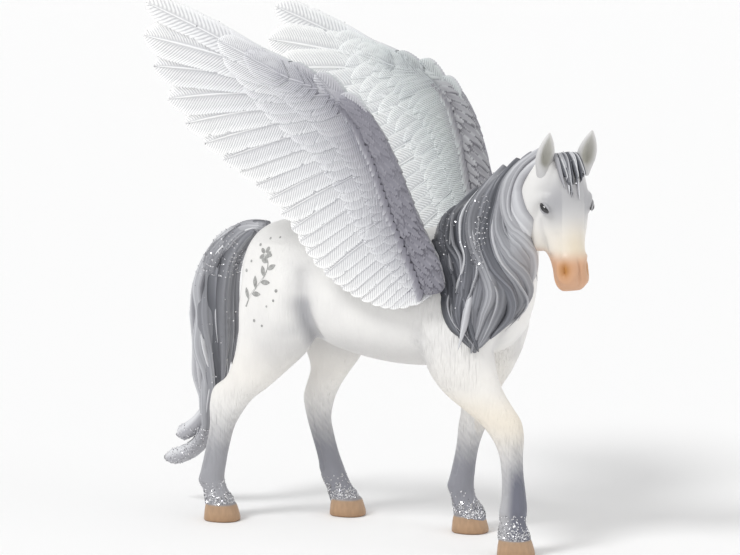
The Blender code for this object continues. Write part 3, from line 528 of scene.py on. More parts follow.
def make_leg(stations):
    rings = []
    for bx, bz, fx, fz, y, half in smooth_rows(stations, 6):
        back, front = place(bx, y, bz), place(fx, y, fz)
        centre, along = (back + front) / 2, (front - back) / 2
        if bz < 30:
            along = along * STOUT
        rings.append(oval(centre, along, Vector((0, half * STOUT * MM, 0)), 0.0, 2.0, 32))
    return skin_rings("leg", rings)


def make_head(head):
    rings = []
    for down, forward, behind, half, taper in smooth_rows(HEAD, 6):
        front, back = head.at(down, -forward, 0), head.at(down, behind, 0)
        across = head.right * half * HEAD_WIDTH / 2
        rings.append(oval((front + back) / 2, (front - back) / 2, across, taper, 2.4, 48))
    return skin_rings("head", rings)


def make_mound(centre, axes, fineness=24):
    """A ball stretched along three axes, which give its half sizes."""
    bm = bmesh.new()
    bmesh.ops.create_uvsphere(bm, u_segments=fineness, v_segments=fineness // 2, radius=1.0)
    stretch = Matrix(axes).transposed().to_4x4()
    stretch.translation = centre
    bmesh.ops.transform(bm, matrix=stretch, verts=bm.verts)
    if stretch.determinant() < 0:
        bmesh.ops.reverse_faces(bm, faces=bm.faces)
    # The faces of Blender's ball come in another order each run, so they are sorted
    bm.verts.index_update()
    spots = [vertex.co.copy() for vertex in bm.verts]
    faces = sorted(([vertex.index for vertex in face.verts] for face in bm.faces), key=sorted)
    bm.free()
    mesh = bpy.data.meshes.new("mound")
    mesh.from_pydata(spots, [], faces)
    return link(bpy.data.objects.new("mound", mesh))


def make_head_mound(head, mound, side):
    down, behind, out, half_down, half_forward, half_across = mound
    axes = (head.down * half_down, head.forward * half_forward, head.right * half_across)
    return make_mound(head.at(down, behind, side * out), [axis * HEAD_LENGTH for axis in axes])


def make_shoulder(side):
    """The swelling that the wing's plug goes into."""
    half = SHOULDER_FACE / 2
    centre = place(PLUG_PLACE[0], 0, PLUG_PLACE[1]) + Vector((0, side * half, 0))
    return make_mound(centre, straight_axes(BOSS_DIAMETER / 2, half, BOSS_DIAMETER / 2))


def joined(name, parts):
    """One mesh that holds every part."""
    bm = bmesh.new()
    for part in parts:
        bm.from_mesh(part.data)
        bpy.data.objects.remove(part, do_unlink=True)
    return object_from(bm, name)


class Skin:
    """The points of a mesh, which carving moves in and out along their normals."""

    def __init__(self, obj):
        self.obj = obj
        self.points = mesh_points(obj)
        self.normals = np.array([v.normal for v in obj.data.vertices], float)

    def swell(self, centre, axes, amount):
        """Raises or sinks a rounded patch, whose half sizes are the lengths of the axes."""
        away = self.points - np.array(centre)
        spread = sum((away @ np.array(a) / Vector(a).length_squared) ** 2 for a in axes)
        self.points += self.normals * (amount * np.exp(-2 * spread))[:, None]

    def score(self, line, width, depth):
        """Sinks a groove that follows the line, or raises a ridge where depth is negative."""
        nearness = np.exp(-2 * (line_distance(self.points, line) / width) ** 2)
        self.points -= self.normals * (depth * nearness)[:, None]

    def settle(self):
        self.obj.data.vertices.foreach_set("co", self.points.astype(np.float32).ravel())
        self.obj.data.update()


def head_shares(head, points):
    """For each point, how far it is down the face, behind it, and to the right in half widths."""
    away = points - np.array(head.poll)
    return (away @ np.array(head.down) / HEAD_LENGTH, -(away @ np.array(head.forward)) / HEAD_LENGTH,
            away @ np.array(head.right) / (HEAD_WIDTH / 2))


def drawn(points):
    """Points of the figurine as x, y, z of the drawing, in millimetres."""
    return points[:, 0] / MM / LONG - FORWARD_SHIFT, points[:, 1] / MM / WIDE, points[:, 2] / MM / TALL


# Creases and swellings of the muscles: points x, y, z on the horse's right, width, depth, in millimetres
CREASES = [
    ([(-12.6, -13.0, 71.0), (-12.0, -13.5, 64.0), (-10.5, -12.5, 58.0), (-9.0, -9.0, 53.5)], 2.2, 1.1),
    ([(22.0, -12.5, 60.0), (26.5, -13.0, 55.0), (30.0, -12.0, 52.5)], 1.6, 0.5),
    ([(41.0, -9.5, 60.0), (39.5, -12.0, 55.0), (36.0, -13.0, 50.0)], 1.5, 0.45),
    ([(46.5, -5.0, 66.0), (46.0, -6.5, 60.0), (43.5, -8.5, 54.0)], 1.4, 0.5),
    ([(-30.0, -12.5, 62.0), (-28.0, -13.5, 55.0), (-29.0, -13.0, 48.0)], 1.6, 0.45),
    ([(-34.0, -11.0, 42.0), (-36.5, -12.0, 38.0), (-38.5, -13.0, 33.0)], 0.9, 0.35),
]
SWELLINGS = [
    ((-18.0, -13.5, 63.0), (5.0, 4.0, 7.0), 0.9),
    ((-24.0, -12.5, 52.0), (5.0, 4.0, 6.0), 0.5),
    ((33.0, -13.0, 58.5), (5.5, 4.0, 6.0), 0.8),
    ((36.5, -12.0, 46.5), (5.0, 4.0, 4.5), 0.5),
    ((49.5, -10.0, 33.5), (2.2, 3.0, 2.4), 0.5),
    ((48.0, 0.0, 58.0), (3.0, 7.0, 6.0), 0.6),
]
# Painted shade in the folds of the body: points x, y, z on the horse's right, width in millimetres, strength
FLANK_SHADES = [
    ([(-12.8, -12.5, 71.0), (-12.3, -12.6, 63.0)], 3.4, 0.22),
    ([(-12.4, -12.4, 62.0), (-12.0, -11.5, 57.0), (-11.2, -9.5, 53.0)], 3.6, 0.62),
    ([(-12.6, -11.5, 56.5), (-16.5, -11.6, 55.0), (-20.0, -11.6, 53.6)], 3.6, 0.42),
    ([(23.5, -11.0, 56.0), (25.3, -10.6, 51.0)], 3.2, 0.3),
    ([(4.0, -7.0, 48.5), (14.0, -8.0, 48.0), (24.0, -9.0, 50.0)], 5.0, 0.13),
    ([(44.6, -7.0, 62.0), (44.2, -6.0, 56.6), (42.0, -8.0, 51.0)], 2.6, 0.2),
]
# Swellings of the face, hollows where they have a height below 0: shares down, behind and across the head,
# half sizes down, forward and across, height, in metres
FACE_SWELLINGS = [
    ((1.0, 0.02, 0.8), (0.0034, 0.004, 0.0032), -0.001),  # rounds the lower corner of the muzzle
    ((EYE_PLACE[0] + 0.01, EYE_PLACE[1] + 0.01, 0.95), (0.0022, 0.0026, 0.003), -0.0005),
    ((EYE_PLACE[0] - 0.075, EYE_PLACE[1] + 0.01, 0.85), (0.0016, 0.0032, 0.003), 0.00045),
    ((0.27, 0.13, 0.85), (0.0018, 0.002, 0.003), -0.0005),
]
# Lines of the face in the same shares, their width and depth: ridges where the depth is below 0
FACE_LINES = [
    ([(0.46, 0.14, 0.9), (0.56, 0.15, 0.78), (0.7, 0.15, 0.66)], 0.0015, -0.0006),
    ([(0.6, 0.07, 0.66), (0.72, 0.08, 0.56), (0.78, 0.07, 0.54)], 0.0014, 0.0004),
    ([(0.86, 0.17, 0.62), (0.92, 0.145, 0.6), (0.965, 0.11, 0.46), (0.995, 0.085, 0.2), (1.0, 0.08, 0)],
     0.0005, 0.00045),
    ([(0.3, 0.47, 0.4), (0.42, 0.5, 0.5), (0.55, 0.46, 0.5)], 0.0012, -0.0003),
]
# Painted shade in a grey line along the cheekbone, between the cheek and the nose, in the same shares
CHEEKBONE_SHADE = [(0.48, 0.17, 0.88), (0.58, 0.18, 0.76), (0.7, 0.17, 0.64)]  # the grey line on it


def carve_muscles(skin):
    for side in (-1, 1):
        for line, width, depth in CREASES:
            skin.score([place(x, -side * y, z) for x, y, z in line], width * MM, depth * MM)
        for (x, y, z), (a, b, c), height in SWELLINGS:
            skin.swell(place(x, -side * y, z), [axis * MM for axis in straight_axes(a, b, c)], height * MM)


def carve_legs(skin):
    """The hollow on each side of a cannon, between the bone and the tendon, and the bones of its joints."""
    for stations in LEGS:
        for side in (-1, 1):
            line = []
            for bx, bz, fx, fz, y, half in stations:
                if 12.5 < bz < 31:
                    line.append(place(bx + 0.36 * (fx - bx), y + side * half, bz + 0.36 * (fz - bz)))
            skin.score(line, 0.8 * MM, 0.42 * MM)
            for bx, bz, fx, fz, y, half in stations:
                if 10 < bz < 12.7:
                    skin.swell(place(bx + 1.6, y + side * half * 0.8, bz + 0.4),
                               straight_axes(1.6 * MM, 2 * MM, 1.7 * MM), 0.45 * MM)


def nostril_ring(down, behind, right):
    """How far each spot lies from the middle of the nostril, 1 at its rim."""
    across = (behind - NOSTRIL_PLACE[1]) * HEAD_LENGTH / NOSTRIL_SIZE[0] + (right - NOSTRIL_PLACE[2]) * 0.9
    along = (down - NOSTRIL_PLACE[0]) * HEAD_LENGTH / NOSTRIL_SIZE[1]
    return np.sqrt(across ** 2 + along ** 2)


def carve_face(skin, head):
    down, behind, right = head_shares(head, skin.points)
    near_head = (down > -0.1) & (down < 1.2) & (behind < 0.5) & (behind > -0.2)
    for side in (-1, 1):
        ring = nostril_ring(down, behind, side * right)
        mine = near_head & (side * right > 0.05)
        hollow = np.where(mine, 1 - smoothly(0.3, 1.0, ring), 0) * NOSTRIL_DEPTH
        rim = np.where(mine, bell(ring, 1.3, 0.3), 0) * NOSTRIL_RIM
        skin.points += skin.normals * (rim - hollow)[:, None]
        for (low, back, out), (a, b, c), height in FACE_SWELLINGS:
            axes = (head.down * a, head.forward * b, head.right * c)
            skin.swell(head.at(low, back, side * out), axes, height)
        for shares, width, depth in FACE_LINES:
            skin.score(head.line(shares, side), width, depth)


def leg_smoke(x, y, z):
    """Smoke grey on the lower legs, which fades upwards to a ragged border, with painted shade on the front
    of the near fore leg.
    """
    legs = z < 45
    ragged = 1.1 * np.sin(x * 2.3 + z * 1.9) * np.cos(y * 2.1 + z * 1.1)
    ragged += 0.6 * np.sin(x * 5.1 + y * 4.3 + z * 3.7)
    fade = 1 - smoothly(17.0, 36.0, z + ragged)
    near_hind = legs & (x < -24) & (y < 0)
    near_fore = legs & (x > 38) & (y < 0)
    smoke = np.where(legs, fade * np.where(near_hind, 0.74, 0.86), 0)
    # The near fore leg gets more grey on its front side than on its back: painted shade
    return smoke * np.where(near_fore, 0.72 + 0.5 * smoothly(-1.0, 2.4, x - 50.4), 1)


def body_smoke(points, x, y, z):
    """The smoke grey of the legs, with painted shade under the belly and in the folds of the body."""
    # Painted shade along the underside of the barrel
    belly = smoothly(-32.0, -18.0, x) * (1 - smoothly(22.0, 32.0, x)) * bell(z, 50, 6.0)
    smoke = np.maximum(leg_smoke(x, y, z), 0.24 * belly)
    for side in (-1, 1):
        for line, width, strength in FLANK_SHADES:
            spots = [place(px, -side * py, pz) for px, py, pz in line]
            smoke = np.maximum(smoke, strength * bell(line_distance(points, spots), 0, width * MM))
    return smoke


def paint_numbers(obj, head):
    """How much of each colour of paint lies on each point of the skin, with painted shade laid into the
    grey, and how furry it is.
    """
    points = mesh_points(obj)
    x, y, z = drawn(points)
    down, behind, right = head_shares(head, points)
    face = (down > 0) & (down < 1.1) & (behind < 0.52) & (behind > -0.25) & (z > 68)
    eye = bell(down, 0.42, 0.14) * bell(behind, 0.08, 0.1) * (np.abs(right) > 0.45)
    brow = bell(down, 0.31, 0.19) * bell(behind, 0, 0.1)
    # Painted shade on the throat, under the jaw
    throat_shade = bell(z, 84, 6.5) * smoothly(48.0, 52.0, x) * (down < 0)
    smoke = np.maximum(body_smoke(points, x, y, z), np.where(face, 0.24 * eye + 0.52 * brow, 0.1 * throat_shade))
    # Painted shade along each cheekbone
    for side in (-1, 1):
        distance = line_distance(points, head.line(CHEEKBONE_SHADE, side))
        smoke = np.maximum(smoke, 0.22 * bell(distance, 0, 0.0015))
    cream = np.where(face, smoothly(0.4, 0.72, down) * (0.45 + 0.55 * bell(right, 0, 0.5)), 0)
    cream = np.maximum(cream, 0.6 * bell(z, 36, 7.0) * (x > 30))
    cream = np.maximum(cream, 0.16 * bell(z, 42, 9.0))
    peach = np.where(face, smoothly(0.69, 0.83, down + 0.25 * np.maximum(behind - 0.05, 0)), 0)
    nostril = np.where(face, np.exp(-nostril_ring(down, behind, np.abs(right)) ** 2 / 0.75), 0)
    fur = smoothly(0.0, 1.0, bell(x, 33, 11) * bell(z, 56, 13) * 1.6)
    fur = np.maximum(fur, np.maximum(0.8 * bell(z, 30, 12), 0.25))
    fur = np.where(z > 84, 0.15, fur) * (1 - smoothly(39.0, 44.0, x) * (z > 47))
    keep_numbers(obj, smoke=smoke, cream=cream, peach=peach, nostril=nostril, fur=fur)
    return obj


def make_limbs():
    return [make_leg(stations) for stations in LEGS] + [make_shoulder(side) for side in (1, -1)]


def make_skin(head):
    """Trunk, head and legs fused into one skin, with muscles, face and bones carved into it."""
    parts = [make_trunk(), make_head(head)]
    for side in (1, -1):
        parts += [make_head_mound(head, mound, side) for mound in (CHEEK, BROW, NOSTRIL_FLARE)]
    skin = joined("body_skin", parts + make_limbs())
    modify(skin, "REMESH", mode="VOXEL", voxel_size=SKIN_VOXEL)
    modify(skin, "SMOOTH", factor=0.5, iterations=SKIN_SOFTENING)
    evaluated_mesh(skin)
    carved = Skin(skin)
    carve_muscles(carved)
    carve_legs(carved)
    carve_face(carved, head)
    carved.settle()
    modify(skin, "DECIMATE", ratio=min(1.0, SKIN_TRIANGLES / (2 * len(skin.data.polygons))))
    evaluated_mesh(skin)
    skin.data.shade_smooth()
    return paint_numbers(skin, head)


def drape_tree():
    """The neck, shoulders and legs without the head, for the mane to hang on."""
    under = joined("under_mane", [make_trunk()] + make_limbs())
    tree = BVHTree.FromObject(under, bpy.context.evaluated_depsgraph_get())
    bpy.data.objects.remove(under, do_unlink=True)
    return tree


# Rings of a hoof from the sole up, in shares: height, length, width, how far forward
HOOF_RINGS = [
    (0.0, 0.96, 0.96, 0.0), (0.05, 1.01, 1.01, 0.005), (0.16, 1.02, 1.02, 0.008),
    (0.36, 0.995, 0.995, 0.004), (0.6, 0.95, 0.95, -0.01), (0.82, 0.895, 0.905, -0.02),
    (0.95, 0.85, 0.87, -0.028), (1.04, 0.77, 0.8, -0.035), (1.1, 0.66, 0.7, -0.04),
]
# Rings of an ear from its foot to its tip, in shares: height, width, depth, how hollow
EAR_RINGS = [
    (-0.15, 0.6, 0.6, 0.0), (0.08, 0.8, 0.66, 0.1), (0.25, 0.98, 0.62, 0.55), (0.42, 1.0, 0.54, 0.75),
    (0.58, 0.9, 0.46, 0.75), (0.74, 0.68, 0.36, 0.6), (0.88, 0.4, 0.24, 0.3), (1.0, 0.1, 0.1, 0.0),
]


def make_hooves():
    """Hooves with rounded walls and a flat sole that stands on the ground."""
    shape = Shape("height")
    for spot in SOLES:
        middle = place(*spot, 0)
        rows = []
        for height, length, width, forward in HOOF_RINGS:
            centre = middle + Vector((forward * HOOF_LENGTH, 0, height * HOOF_HEIGHT))
            ring = oval(centre, Vector((length * HOOF_LENGTH / 2, 0, 0)),
                        Vector((0, width * HOOF_WIDTH / 2, 0)), 0.12, 2.3, 64)
            rows.append([shape.point(p, height=height) for p in ring])
        shape.walls(rows)
        shape.faces.append(tuple(reversed(rows[0])))
    return shape.build("hooves")


def make_ears(head):
    """Leaf-shaped ears, hollow in front."""
    shape = Shape("inside", "smoke", "cream", "peach")
    for side in (1, -1):
        foot = head.at(EAR_PLACE[0], EAR_PLACE[1], side * EAR_PLACE[2])
        rise = (-head.down + head.forward * 0.48 + head.right * side * 0.03).normalized()
        outward = square_to((head.right * side + head.forward * 0.12).normalized(), rise)
        front = rise.cross(outward)
        if front.dot(head.forward) < 0:
            front = -front
        rows = []
        for up, width, depth, hollow in smooth_rows(EAR_RINGS, 4):
            centre = foot + rise * up * EAR_LENGTH + head.forward * (0.1 * up * up * EAR_LENGTH)
            row = []
            for u, v in circle(40):
                dent = max(hollow, 0) * max(v, 0) ** 0.7 * max(1 - abs(u) * 1.05, 0) * 1.9
                spot = (centre + outward * u * width * EAR_WIDTH / 2
                        + front * (v * depth - dent * depth) * EAR_WIDTH / 2)
                row.append(shape.point(spot, inside=min(dent * 1.1, 0.8) * (1 - up * 0.6),
                                       smoke=0.34 - 0.16 * up))
            rows.append(row)
        shape.walls(rows)
        shape.faces.append(tuple(rows[-1]))
    return shape.build("ears")


def eye_spot(head, side):
    return head.at(EYE_PLACE[0], EYE_PLACE[1], side * EYE_PLACE[2])


def eye_axes(head, side):
    """Along the slant of the eye, square to it across the eye, and out of it."""
    slant = (head.forward * 0.9 + head.down * 0.75).normalized()
    outward = (head.right * side + head.forward * 0.25).normalized()
    slant = square_to(slant, outward)
    return slant, slant.cross(outward), outward


def make_eyes(head):
    """Glossy almond eyeballs."""
    balls = []
    radius = EYE_LENGTH / 2
    for side in (1, -1):
        slant, upright, outward = eye_axes(head, side)
        axes = (slant * radius * 1.08, upright * radius * 0.56, outward * radius * 0.55)
        balls.append(make_mound(eye_spot(head, side), axes, 32))
    eyes = joined("eyes", balls)
    eyes.data.shade_smooth()
    return eyes


def make_eyelids(head):
    """A rim round each eye, thicker above."""
    shape = Shape("smoke", "cream", "peach", "inside")
    radius = EYE_LENGTH / 2
    for side in (1, -1):
        slant, upright, outward = eye_axes(head, side)
        if upright.dot(head.down) > 0:
            upright = -upright
        spot = eye_spot(head, side) + outward * radius * 0.24
        rows = []
        for c, s in circle(48):
            middle = (spot + slant * c * radius * 1.02 + upright * s * radius * 0.6
                      - outward * c * c * radius * 0.3)
            spoke = (slant * c + upright * s * 1.4).normalized()
            thick = (0.00030 if s > 0 else 0.00021) * (0.75 + 0.25 * abs(s))
            rows.append([shape.point(middle + spoke * u * thick * 1.3 + outward * v * thick, smoke=0.62)
                         for u, v in circle(10)])
        shape.walls(rows + rows[:1])
    return shape.build("eyelids")


def lock_swell(share):
    """How wide a lock is, a share of the way from its root to its tip."""
    belly = 0.62 + 0.38 * math.sin(math.pi * min(share / 0.8, 1.0))
    return belly - 0.62 * max((share - 0.6) / 0.4, 0) ** 1.5


def add_lock(shape, path, width, thickness, outward, strands, phase, pale=0.0, points=26, blunt=0.0,
             root_pale=0.0):
    """A lock of hair along path, with fine strands combed along it."""
    spots = [Vector(p) for p in smooth_rows([tuple(p) for p in path], 5)]
    last = len(spots) - 1
    rows = []
    for i, spot in enumerate(spots):
        share = i / last
        tangent = step_along(spots, i).normalized()
        out = square_to(outward(spot), tangent)
        across = tangent.cross(out)
        swell = max(lock_swell(share * (1 - blunt)), 0.03)
        swell *= math.sqrt(max(1 - max(share - 0.9, 0) / 0.105, 0.02))
        ridge = thickness / 2 * (0.08 + 0.92 * min(swell * 1.5, 1.0))
        row = []
        for c, s in circle(points):
            crown = max(c, 0) ** 0.6
            strand = math.cos(strands * s * 2.6 + phase + 1.3 * math.sin(share * 5 + phase))
            strand = 0.6 * strand + 0.4 * math.cos(strands * s * 6.1 + phase * 2.3 + share * 2)
            u = math.copysign(abs(c) ** 1.1, c) * (1 + HAIR_STRAND * strand)
            v = math.copysign(abs(s) ** 1.1, s) * (1 - 0.35 * u)
            # A painted sheen that comes and goes along the crown of the lock
            painted_sheen = 0.12 * math.sin(share * 7 + phase * 3) * crown
            # ridge makes the lock light on its outer crown and strands, partly brushed paint and partly
            # painted light, and dark underneath and between the strands, painted shade
            row.append(shape.point(spot + out * ridge * u + across * width / 2 * swell * v,
                                   ridge=0.06 + 0.3 * pale + 0.5 * crown + 0.24 * strand * crown + painted_sheen,
                                   pale=pale + 0.2 * share ** 2 + root_pale * max(1 - share / 0.4, 0)))
        rows.append(row)
    shape.walls(rows)
    shape.faces += [tuple(reversed(rows[0])), tuple(rows[-1])]


def on_neck(guide, tree, lift, sway):
    """A path over the neck, lifted off it, that sways forward and back by sway at a share of its length."""
    count = len(guide) // 3
    path = []
    for i in range(count):
        spot, normal, _, _ = tree.find_nearest(Vector(guide[3 * i:3 * i + 3]))
        path.append(spot + normal * lift + Vector((1, 0, 0.2)) * sway(i / (count - 1)))
    return path


def make_mane(skin_tree):
    """Wavy locks that hang down the right of the neck, with bright strands along some of their edges."""
    shape = Shape("ridge", "pale")
    chance = random.Random(4)
    guides = [sum((tuple(place(*point)) for point in guide), ()) for guide in MANE]
    rows = smooth_rows(guides, 2)
    last = len(rows) - 1

    def outward(spot):
        return skin_tree.find_nearest(spot)[1]

    for lower in (True, False):
        for k, guide in enumerate(rows):
            if lower != (k % 2 == 0):
                continue
            lift, wide = (LOWER_LOCK if lower else UPPER_LOCK)
            wave, phase = chance.uniform(0.3, 0.6) * MM * (1 if lower else 2.4), chance.uniform(0, 6.3)
            path = on_neck(guide, skin_tree, lift * HAIR_THICKNESS + chance.uniform(-0.1, 0.3) * MM,
                           lambda t: wave * math.sin(7 * t + phase) * min(4 * t, 1))
            pale = 0.75 * max(0, k / last - 0.7) / 0.3 + chance.choice((-0.1, 0.0, 0.05, 0.2))
            pale -= 0.55 * max(0, 0.4 - k / last) / 0.4
            add_lock(shape, path, wide * HAIR_THICKNESS * (1.08 if lower else 1.0),
                     HAIR_THICKNESS * (0.95 if lower else 1.2), outward, 4 if lower else 3, phase, pale, 44,
                     0.22 if lower else 0.12)
    for k in range(10):
        guide = rows[2 + k * (last - 2) // 9]
        wave, phase = chance.uniform(0.7, 1.6) * MM, chance.uniform(0, 6.3)
        begin = chance.choice((0, 0, 1, 2))
        path = on_neck(guide[begin * 3:], skin_tree, HAIR_THICKNESS * 0.66,
                       lambda t: wave * math.sin(6 * t + phase))
        add_lock(shape, path, chance.uniform(0.9, 1.4) * MM, 1.2 * MM, outward, 1, phase,
                 chance.uniform(0.25, 0.8), 14)
    path = [place(*point) + PALE_LOCK_SIDE * HAIR_THICKNESS * (-0.9 + 1.1 * min(i / 2, 1))
            for i, point in enumerate(PALE_LOCK)]
    add_lock(shape, path, 2.1 * MM, 1.7 * MM, lambda p: PALE_LOCK_SIDE, 2, 0.4, 0.8, 20)
    return shape.build("mane")


def make_forelock(head):
    """Thin strands, some of them pale, that part over the forehead."""
    shape = Shape("ridge", "pale")
    chance = random.Random(7)
    rows = smooth_rows(FORELOCK, 3)
    for j in range(13):
        start, end, reach, lift = rows[j]
        reach += chance.uniform(-0.13, 0.07)
        sway = chance.uniform(-0.12, 0.12)
        path = head.line([(0.08, 0.2, start * 0.7), (0.02, 0.1, start * 0.9), (0.05, 0.03 - lift, start),
                          (0.12 + reach * 0.3, -0.012 - lift, (start + end) / 2 + sway),
                          (reach, -0.02 - lift, end)], 1)
        width, phase = chance.uniform(0.7, 1.25) * MM, chance.uniform(0, 6.3)
        pale = chance.choice((-0.3, 0.0, 0.5, 0.9))
        add_lock(shape, path, width, HAIR_THICKNESS * 0.55, lambda p: head.forward, 2, phase, pale, 18)
    return shape.build("forelock")


def add_tail_core(shape, core, middle):
    """The solid middle that the locks of the tail lie on."""
    rows = []
    for i, centre in enumerate(middle):
        spread = core[i][3] * MM
        outward = step_along(middle, i).cross(Vector((0, 1, 0))).normalized()
        ring = oval(centre, outward * spread * LONG, Vector((0, spread * WIDE * TAIL_FLATNESS, 0)))
        rows.append([shape.point(p, ridge=0.1, pale=0.1) for p in ring])
    shape.walls(rows)
    shape.faces += [tuple(rows[0]), tuple(rows[-1])]


def add_wound_lock(shape, core, away, k, chance):
    """One of the locks wound round the tail: a broad one, or a fine pale one where k is odd."""
    main = k % 2 == 0
    pair, turn, last = k // 2, k / (TAIL_LOCKS * 2), len(core) - 1
    short = (0, 5, 2, 7, 4)[pair % 5] + (0 if main else chance.choice((2, 4, 6)))
    phase = chance.uniform(0, 6.3)
    path = []
    for i in range(0, last - short + 1, 3):
        x, y, z, spread = core[i]
        angle = 2 * math.pi * (turn + TAIL_TWIST * i / last)
        wave = spread * (1 + 0.2 * math.sin(i * 0.9 + pair * 2.1)) + (0 if main else 0.5)
        angle += 0 if main else 0.22 * math.sin(i * 0.5 + phase)
        path.append(place(x + math.cos(angle) * wave, y + math.sin(angle) * wave * TAIL_FLATNESS, z))
    width = (TAIL_LOCK_WIDTH if main else chance.uniform(0.3, 0.7)) * HAIR_THICKNESS
    # Locks on the side of the tail that faces the hind legs get less pale: painted shade between the tail
    # and the legs
    outer = 0.34 - 0.34 * math.cos(2 * math.pi * (turn + TAIL_TWIST / 2))
    pale = outer + chance.uniform(-0.1, 0.15) if main else chance.uniform(0.55, 1.0)
    thickness, strands, points = (1.0, 4, 36) if main else (0.6, 1, 14)
    add_lock(shape, path, width, HAIR_THICKNESS * thickness, away, strands, phase, pale, points,
             root_pale=0.5)


def make_tail():
    """Locks wound loosely round a solid middle."""
    shape = Shape("ridge", "pale")
    chance = random.Random(11)
    core = smooth_rows(TAIL, 3)
    middle = [place(x, y, z) for x, y, z, _ in core]
    add_tail_core(shape, core, middle)

    def away(point):
        return point - min(middle, key=lambda spot: (spot - point).length)

    def up(point):
        return Vector((0, 0, 1))

    for k in range(TAIL_LOCKS * 2):
        add_wound_lock(shape, core, away, k, chance)
    for k in range(3):
        path = [place(x + spread * 1.25, y + (k - 1) * spread * 0.55, z)
                for x, y, z, spread in core[3 + k:25 - 2 * k:3]]
        add_lock(shape, path, HAIR_THICKNESS * 1.5, HAIR_THICKNESS * 1.1, away, 3, k, 0.15, 30)
    add_lock(shape, middle[-15::2], HAIR_THICKNESS * 1.9, HAIR_THICKNESS * 1.5, up, 3, 0.6, 0.8, 30, 0.2)
    curl = [place(*point) for point in TAIL_CURL]
    add_lock(shape, curl, TAIL_CURL_WIDTH * HAIR_THICKNESS, TAIL_CURL_THICKNESS * HAIR_THICKNESS, up, 3, 1.0,
             0.8, 30, 0.2)
    return shape.build("tail")


class WingSide:
    """The right or the left wing: where a point drawn from the side lies on it."""

    def __init__(self, side):
        self.side = side
        self.swing = LEFT_WING_SWING if side > 0 else 0.0
        self.outward = Vector((WING_SPREAD, side, -WING_FLARE)).normalized()

    def at(self, x, z, lift=0.0):
        """The point drawn at x, z, swung about the plug and lifted off the middle of the wing."""
        dx, dz = x - PLUG_PLACE[0], z - PLUG_PLACE[1]
        x = PLUG_PLACE[0] + dx * math.cos(self.swing) - dz * math.sin(self.swing)
        z = PLUG_PLACE[1] + dx * math.sin(self.swing) + dz * math.cos(self.swing)
        point = place(x, 0, z)
        rise, back = (z - WING_FOOT) * TALL * MM, (PLUG_PLACE[0] - x) * LONG * MM
        point.y = self.side * (WING_STAND_OFF + WING_FLARE * rise + WING_SPREAD * back + lift)
        return point


def arm_at(share):
    rows = smooth_rows(ARM, 4)
    return rows[round(share * (len(rows) - 1))]


def vane(along, length, width, rounding):
    """Half the width of a feather at a distance along it."""
    share = along / length
    spread = width / 2 * (0.7 + 0.3 * min(share / 0.5, 1.0))
    tip = max((share - 1) / rounding + 1, 0.0)
    return spread * max(1 - tip * tip, 0) ** 0.56


def barb_end(start, length, width, rounding):
    """How far along the feather a barb reaches its edge, when it leaves the shaft at start."""
    low, high = start, length
    for _ in range(18):
        middle = (low + high) / 2
        if vane(middle, length, width, rounding) > (middle - start) * BARB_SLOPE:
            low = middle
        else:
            high = middle
    return low


def barb_starts(length, bare, pitch):
    """Where rows of points leave the shaft, and how high the barb stands there, from 0 to 1."""
    starts, at = [], 0.0
    while at < bare * length:
        starts.append((at, 0.5))
        at += 2.5
    at, high = bare * length, True
    while at < length - 0.1:
        starts.append((at, 1.0 if high else 0.0))
        at += pitch * (0.56 if high else 0.44)
        high = not high
    return starts + [(length - 0.02, 0.5)]


def carved_at(u, ridge):
    """How high a feather is carved at a share u of its half width, and how light it is painted there:
    painted highlight on the shaft and the raised barbs, painted shade in the grooves.
    """
    if abs(u) < 0.01:
        return SHAFT_HEIGHT, 0.92
    if abs(u) < 0.1:
        return -0.4 * BARB_HEIGHT, 0.1
    return BARB_HEIGHT * (ridge - 0.5), 0.75 + 0.25 * ridge if abs(u) > 0.9 else ridge


def add_feather(shape, wing, base, tip, width, thickness, bare, pitch, reach, tone, chance, fair=0.0):
    """A feather with a shaft and rows of barbs, its rear edge raised over the feather behind it."""
    root, end = Vector(base), Vector(tip)
    run = end - root
    length = run.length
    side = left_of(run).normalized()
    bend = root + run * 0.5 + side * -length * FEATHER_SAG
    rounding = min(0.75 * width / length, 0.5)
    notches = [(chance.uniform(0.35, 0.98), chance.choice((-1, 1)), chance.uniform(0.06, 0.2))
               for _ in range(4)]
    starts = barb_starts(length, bare, pitch)
    edges = []
    for face in (1, -1):
        rows = []
        for start, ridge in starts:
            far = barb_end(start, length, width, rounding)
            half_width = vane(far, length, width, rounding)
            fray = {-1: 0.0, 1: 0.0}
            for spot, hand, depth in notches:
                fray[hand] += depth * math.exp(-((start / length - spot) / 0.013) ** 2)
            row = []
            for u in BARB_COLUMNS:
                reach_u = u * (1.0 if ridge > 0 else 0.955) * (1 - fray[1 if u > 0 else -1] * abs(u))
                along = start + (far - start) * abs(u) ** 1.3
                share = along / length
                v = reach_u * half_width
                middle = root * (1 - share) ** 2 + bend * 2 * share * (1 - share) + end * share * share
                spot = middle + side * v
                half = thickness * FEATHER_THICKNESS / 2 * (1 - 0.35 * share)
                carved, mark = carved_at(u, ridge)
                lift = face * (half * (1 - 0.24 * (v / (width / 2)) ** 2) + carved)
                lift += FEATHER_TILT * 1.25 * v / (width / 2)
                row.append(shape.point(wing.at(spot.x, spot.y, lift), ridge=mark, tone=tone,
                                       reach=fair + (1 - fair) * reach * share, inner=float(face < 0),
                                       tip=share))
            rows.append(row)
        for near, far in zip(rows, rows[1:]):
            shape.bridge(near, far)
        edges.append(rows)
    outer, inner = edges
    for column in (0, -1):
        shape.bridge([row[column] for row in outer], [row[column] for row in inner])
    shape.bridge(outer[-1], inner[-1])


